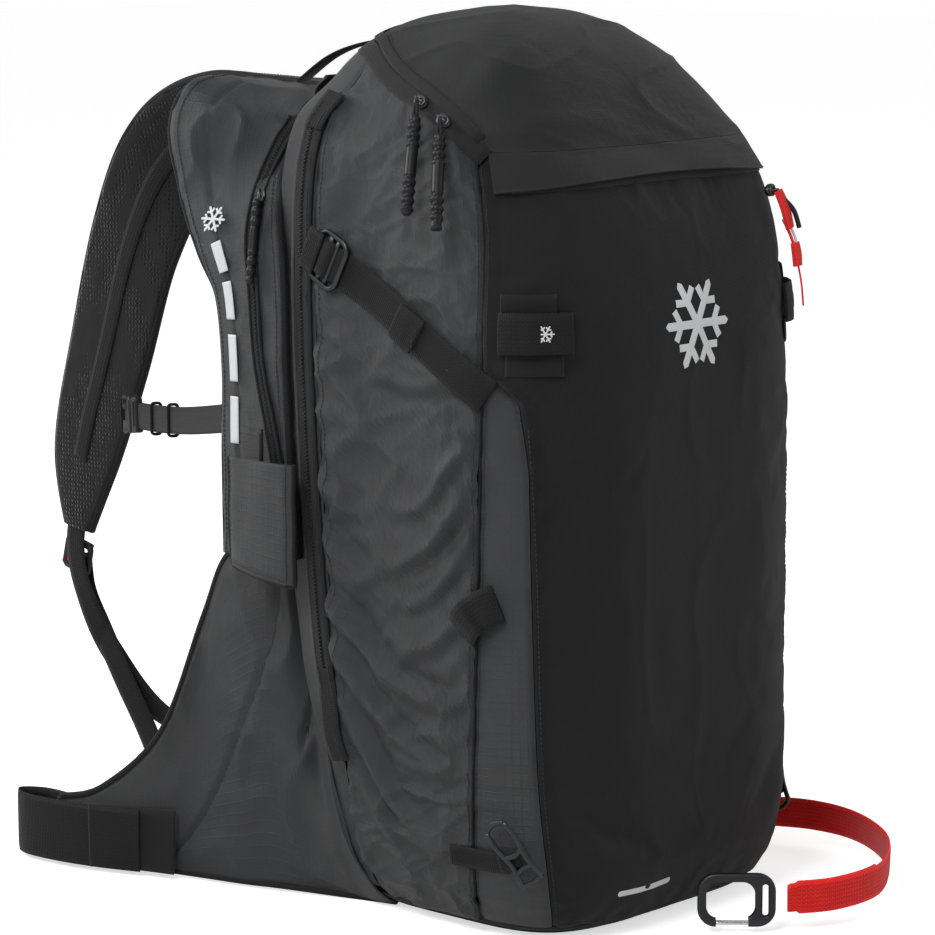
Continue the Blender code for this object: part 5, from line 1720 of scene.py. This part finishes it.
def make_main_sliders():
    for name, turn in (("rear_zip_slider", 0.412), ("front_zip_slider", 0.358)):
        centre = middle(name)
        rise = float(lid_edge(turn)) - 0.018
        normal = skin_normal(turn, rise)
        ahead, behind = turn + 0.02, turn - 0.02
        along = skin(ahead, float(lid_edge(ahead))) - skin(behind, float(lid_edge(behind)))
        head = make_slider(name + "_head", centre, normal, along, 1.15)
        place(head, name, "slider_metal", STEEL, (name,))
        low = bounds(name + "_pull")[0]
        top = centre + normal * 0.0056
        bottom = np.array((low[0] + 0.002, low[1] + 0.004, low[2]))
        shares = np.linspace(0.0, 1.0, 20)
        run = [lerp(top, bottom, s) for s in shares]
        for index, shift in enumerate((-0.0021, 0.0021)):
            strand = [point + unit(along) * shift * min(1.0, 6 * s + 0.2) for point, s in zip(run, shares)]
            piece_name = f"{name}_pull_cord_{index}"
            stands = (name + "_pull",) if index == 0 else ()
            cord = rod(piece_name, even(strand[:12], 0.002), 0.0011, sides=8)
            place(cord, name + "_pull", "webbing", WEB, stands)
        grip = ribbed_pull(name + "_pull_grip", run[3:], 0.0040)
        place(grip, name + "_pull", "webbing", SLEEVE)


def make_tool_zip(surface):
    """Front pocket's zip under the storm flap, with a red pull and thin cords."""
    places = [(turn, 0.621 + 0.005 * math.cos(turn * 6)) for turn in np.linspace(-0.268, 0.268, 15)]
    tape = laid_strip(surface, "pocket_zip_tape", places, 0.014, 0.0008, 0.0001)
    place(tape, "pack_body", "zip_tape", TAPE)
    points, normals = trace(surface, places, 0.003, 0.0009)
    zip_chain("pocket_zip_teeth", points, normals, "pack_body", width=0.0042, pitch=0.0014)

    slider = middle("tool_zip_slider")
    head = make_slider("tool_zip_slider_head", slider, (0.2, -1, 0.1), (1, 0.1, 0), 1.1)
    place(head, "tool_zip_slider", "slider_metal", STEEL, ("tool_zip_slider",))
    body = "tool_zip_pull"
    top = slider + np.array((0.002, -0.0054, -0.002))

    def drop(x, y, z):
        return top + np.array((x, y, z))

    first = [
        (drop(0.0, 0.0, 0.002), (0.3, -1, 0.2), 0.010),
        (drop(0.003, -0.004, -0.010), (0.3, -1, 0.2), 0.013),
        (drop(0.006, -0.006, -0.024), (0.3, -1, 0.2), 0.010),
    ]
    upper = webbing("tool_pull_upper_tab", first, 0.0040, steps=20, lanes=6)
    place(upper, body, "red_webbing", RED_WEB, (body,))
    second = [
        (drop(0.0085, -0.0085, -0.034), (0.3, -1, 0), 0.010),
        (drop(0.0095, -0.0095, -0.042), (0.3, -1, 0), 0.0125),
        (drop(0.0100, -0.0100, -0.050), (0.3, -1, 0), 0.011),
    ]
    place(webbing("tool_pull_lower_tab", second, 0.0042, steps=16, lanes=6), body, "red_webbing", RED_WEB)
    cords = (
        ("cord_a", 0.0011, RED_WEB, ((0.002, -0.003, -0.018), (0.006, -0.006, -0.028), (0.009, -0.009, -0.040))),
        ("cord_b", 0.0010, PRINT, ((0.004, -0.006, -0.020), (0.009, -0.008, -0.030), (0.010, -0.010, -0.040))),
        ("tail", 0.0018, SLEEVE, ((0.004, -0.002, -0.004), (0.010, -0.006, -0.012), (0.014, -0.008, -0.024))),
        ("end_cord", 0.0007, RED_WEB,
         ((0.010, -0.010, -0.048), (0.013, -0.011, -0.062), (0.0155, -0.011, -0.078))),
    )
    for name, radius, look, knots in cords:
        line = spline([drop(*knot) for knot in knots], np.linspace(0, 1, 14))
        place(rod("tool_pull_" + name, line, radius, sides=8), body, "red_webbing", look)


def make_haul_loop():
    line = [(-0.012, y, z) for y, z in ((0.2250, 0.5560), (0.1930, 0.5755), (0.1600, 0.5860), (0.1235, 0.5905))]
    outs = ((0, 0.6, 0.8), (0, 0.4, 0.9), (0, 0.2, 1), (0, -0.1, 1))
    stations = [(np.array(point), out, 0.0125) for point, out in zip(line, outs)]
    loop = webbing("haul_loop_webbing", stations, 0.0019, steps=70)
    place(loop, "haul_loop", "webbing", WEB, ("haul_loop",))


def make_axe_buckle(surface, side, sign):
    """Forked hook on a webbing tab that holds an axe's shaft."""
    name = side + "_axe_buckle"
    centre = middle(name)
    turn, rise = -sign * 0.305, 0.209
    normal = skin_normal(turn, rise)
    lean = unit(skin(turn, rise + 0.05) - skin(turn, rise) + np.array((sign * 0.05, 0.01, 0.0)))
    lean = unit(lean - normal * (lean @ normal))
    across = np.cross(lean, normal)

    def at(x, y, z=0.0):
        return centre + across * x + lean * y + normal * z

    rails = {
        "left_rail": ((-0.0075, 0.022), (-0.0082, 0.010), (-0.0062, -0.004), (-0.0070, -0.014), (-0.0085, -0.021)),
        "right_rail": ((0.0075, 0.022), (0.0082, 0.010), (0.0062, -0.004), (0.0070, -0.014), (0.0085, -0.021)),
        "top_bar": ((-0.0075, 0.022), (0.0, 0.0245), (0.0075, 0.022)),
        "middle_bar": ((-0.0066, 0.001), (0.0, -0.001), (0.0066, 0.001)),
        "foot_bar": ((-0.0085, -0.021), (0.0, -0.0225), (0.0085, -0.021)),
        "cross_bar": ((-0.0066, -0.012), (0.0, -0.011), (0.0066, -0.012)),
    }
    for label, knots in rails.items():
        line = spline([at(x, y) for x, y in knots], np.linspace(0, 1, 14))
        bar = rod(f"{name}_{label}", line, 0.0019, sides=10, flat=0.85, out=normal)
        place(bar, name, "buckle_metal", ANODISED, (name,) if label == "left_rail" else ())
    tail = [(-sign * t, r) for t, r in ((0.425, 0.197), (0.390, 0.195), (0.350, 0.194), (0.318, 0.196))]
    strap = laid_strip(surface, side + "_axe_webbing", tail, 0.015, 0.0018, 0.0004, spacing=0.003)
    place(strap, "pack_body", "webbing", WEB)
    loop = [(-sign * t, r) for t, r in ((0.330, 0.196), (0.312, 0.199), (0.300, 0.203))]
    fold_strip = laid_strip(surface, side + "_axe_loop", loop, 0.014, 0.0026, 0.0020, spacing=0.002)
    place(fold_strip, "pack_body", "webbing", WEB)


def make_ski_loop(surface, side, sign):
    """Folded webbing loop sewn in the side seam."""
    places = [(-sign * t, r) for t, r in ((0.372, 0.338), (0.352, 0.345), (0.332, 0.350), (0.312, 0.353))]
    turn, rise = spline(places, np.linspace(0, 1, 24)).T
    centres, normals = skin(turn, rise), skin_normal(turn, rise)
    along = np.gradient(centres, axis=0)
    across = unit(np.cross(normals, along))
    share = np.linspace(0, 1, 24)
    lift = surface.height(centres, normals) + 0.0016 + 0.0050 * np.sin(np.pi * share)
    lane = np.linspace(-0.5, 0.5, 7)[None, :, None]
    grid = (centres + normals * lift[:, None])[:, None] + across[:, None] * 0.026 * lane
    outs = np.repeat(normals[:, None], 7, axis=1)
    loop = padded(side + "_ski_loop", grid, outs, 0.0022, rim=0.6, power=8.0)
    place(loop, "pack_body", "webbing", WEB)


# ---------------------------------------------------------------- inside the pack


def make_airbag():
    """Airbag folded in pleats into its pocket."""
    low, high = bounds("airbag_folded")
    centre, half = (low + high) / 2, (high - low) / 2
    u, v = np.meshgrid(np.linspace(0, 1, 121)[:-1], np.linspace(0.02, 0.98, 90))
    angle, tilt = 2 * np.pi * u, np.pi * (v - 0.5)
    power = 5.0

    def box_round(value, other):
        return np.sign(value) * np.abs(value) / length_of(value, other, power)

    ring_x, ring_y = box_round(np.cos(angle), np.sin(angle)), box_round(np.sin(angle), np.cos(angle))
    level, reach = box_round(np.sin(tilt), np.cos(tilt)), box_round(np.cos(tilt), np.sin(tilt))
    grid = np.stack([ring_x * reach * half[0], ring_y * reach * half[1], level * half[2]], axis=-1)
    pleat = 0.5 + 0.5 * np.cos(grid[..., 2] / 0.0125 * 2 * np.pi + 1.5 * ripple(grid, 0.08, 1.0))
    shrink = 1 - 0.055 * pleat - 0.03 * np.abs(ripple(grid, 0.03, 2.0))
    grid = grid * shrink[..., None] * 0.99 + centre
    bag = ring_mesh("airbag_pleats", grid)
    place(bag, "pack_body", "airbag_fabric", BALLOON, ("airbag_folded",))


def dress_cad_nodes():
    """Carried CAD nodes keep their shape, with rounded edges and real materials."""
    looks = {
        "frame_sheet": (PLASTIC, "moulded_plastic", 0.0004), "left_stay": (ALUMINIUM, "stay_metal", 0.0006),
        "right_stay": (ALUMINIUM, "stay_metal", 0.0006), "fan_housing": (PLASTIC, "moulded_plastic", 0.0006),
        "fan_motor": (STEEL, "slider_metal", 0.0008), "fan_impeller": (SLEEVE, "moulded_plastic", 0.0006),
        "intake_grille": (PLASTIC, "moulded_plastic", 0.0005),
        "outlet_duct": (PLASTIC, "moulded_plastic", 0.0006),
        "check_valve_flap": (SLEEVE, "webbing", 0.0003), "control_unit": (PLASTIC, "moulded_plastic", 0.0012),
        "power_button": (RED_PLASTIC, "red_plastic", 0.0008),
        "battery_pack": (SLEEVE, "moulded_plastic", 0.0015),
        "tool_pocket_divider": (LINING, "front_fabric", 0.0),
    }
    for name, (look, slot, edge) in looks.items():
        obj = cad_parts[name]
        obj.data.materials.clear()
        obj.data.materials.append(look)
        if edge:
            rounding = obj.modifiers.new("Edges", "BEVEL")
            rounding.width = edge
            rounding.segments = 2
            rounding.limit_method = "ANGLE"
            rounding.angle_limit = math.radians(40)


# ---------------------------------------------------------------- studio

VIEW_TURN = math.radians(-48.7)
VIEW_RISE = math.radians(9.2)
VIEW_DISTANCE = 2.6
VIEW_TARGET = Vector((0.0, 0.0, 0.30))


def make_camera():
    back = Vector((
        math.sin(VIEW_TURN) * math.cos(VIEW_RISE),
        -math.cos(VIEW_TURN) * math.cos(VIEW_RISE),
        math.sin(VIEW_RISE),
    ))
    camera = bpy.data.objects.new("camera", bpy.data.cameras.new("camera"))
    bpy.context.scene.collection.objects.link(camera)
    camera.location = VIEW_TARGET + back * VIEW_DISTANCE
    camera.rotation_mode = "QUATERNION"
    camera.rotation_quaternion = (-back).to_track_quat("-Z", "Y")
    camera.data.sensor_width = 36.0
    camera.data.lens = 144.1
    camera.data.shift_x = -0.0845
    camera.data.shift_y = -0.004
    bpy.context.scene.camera = camera


def softbox(name, place_at, target, width, height, power):
    light = bpy.data.lights.new(name, "AREA")
    light.shape = "RECTANGLE"
    light.size, light.size_y = width, height
    light.energy = power
    obj = bpy.data.objects.new(name, light)
    bpy.context.scene.collection.objects.link(obj)
    obj.location = place_at
    obj.rotation_mode = "QUATERNION"
    obj.rotation_quaternion = (Vector(target) - Vector(place_at)).to_track_quat("-Z", "Y")


def make_studio():
    look = Look("studio_floor", (0.86, 0.86, 0.86), 0.7)
    look.brighten(look.spread(look.object_noise(0.8, 2.0), 0.99, 1.01))
    seen = look.add("LightPath", {}).outputs["Is Camera Ray"]
    look.put(look.shader.inputs["Emission Color"], (1.0, 1.0, 1.0, 1.0))
    look.put(look.shader.inputs["Emission Strength"], look.math("MULTIPLY", seen, 0.62))
    bm = bmesh.new()
    bmesh.ops.create_grid(bm, x_segments=2, y_segments=2, size=12.0)
    mesh = bpy.data.meshes.new("studio_floor")
    bm.to_mesh(mesh)
    bm.free()
    floor = bpy.data.objects.new("studio_floor", mesh)
    bpy.context.scene.collection.objects.link(floor)
    floor.location.z = -0.0012
    mesh.materials.append(look.material)
    world = bpy.data.worlds.new("studio")
    world.use_nodes = True
    sky = world.node_tree.nodes["Background"]
    sky.inputs["Color"].default_value = (1.0, 1.0, 1.0, 1.0)
    seen = world.node_tree.nodes.new("ShaderNodeLightPath").outputs["Is Camera Ray"]
    level = world.node_tree.nodes.new("ShaderNodeMapRange")
    level.inputs["To Min"].default_value = 0.42
    level.inputs["To Max"].default_value = 1.0
    world.node_tree.links.new(seen, level.inputs["Value"])
    world.node_tree.links.new(level.outputs[0], sky.inputs["Strength"])
    bpy.context.scene.world = world
    bpy.context.scene.view_settings.view_transform = "Standard"
    softbox("key_light", (-2.2, -0.4, 2.4), (0, 0, 0.3), 1.4, 1.4, 60)
    softbox("fill_light", (1.8, -2.4, 1.4), (0, 0, 0.3), 1.8, 1.8, 16)
    softbox("rim_light", (-1.0, 2.4, 1.8), (0, 0, 0.35), 1.4, 1.4, 40)


def main():
    make_body_covers()
    make_storm_flap()
    surface = Surface()
    make_seams(surface)
    make_main_zip(surface)
    make_burst_zip(surface)
    make_tool_zip(surface)
    make_front_marks(surface)
    for side, sign in SIDES:
        make_compression_strap(surface, side, sign)
        make_axe_keeper(surface, side, sign)
        make_axe_buckle(surface, side, sign)
        make_ski_loop(surface, side, sign)
    make_left_strap()
    make_right_strap()
    make_yoke()
    make_sternum_strap()
    make_back_pads()
    make_hip_belt()
    make_hip_buckle()
    make_leg_loop()
    make_main_sliders()
    make_haul_loop()
    make_airbag()
    dress_cad_nodes()
    make_camera()
    make_studio()


main()
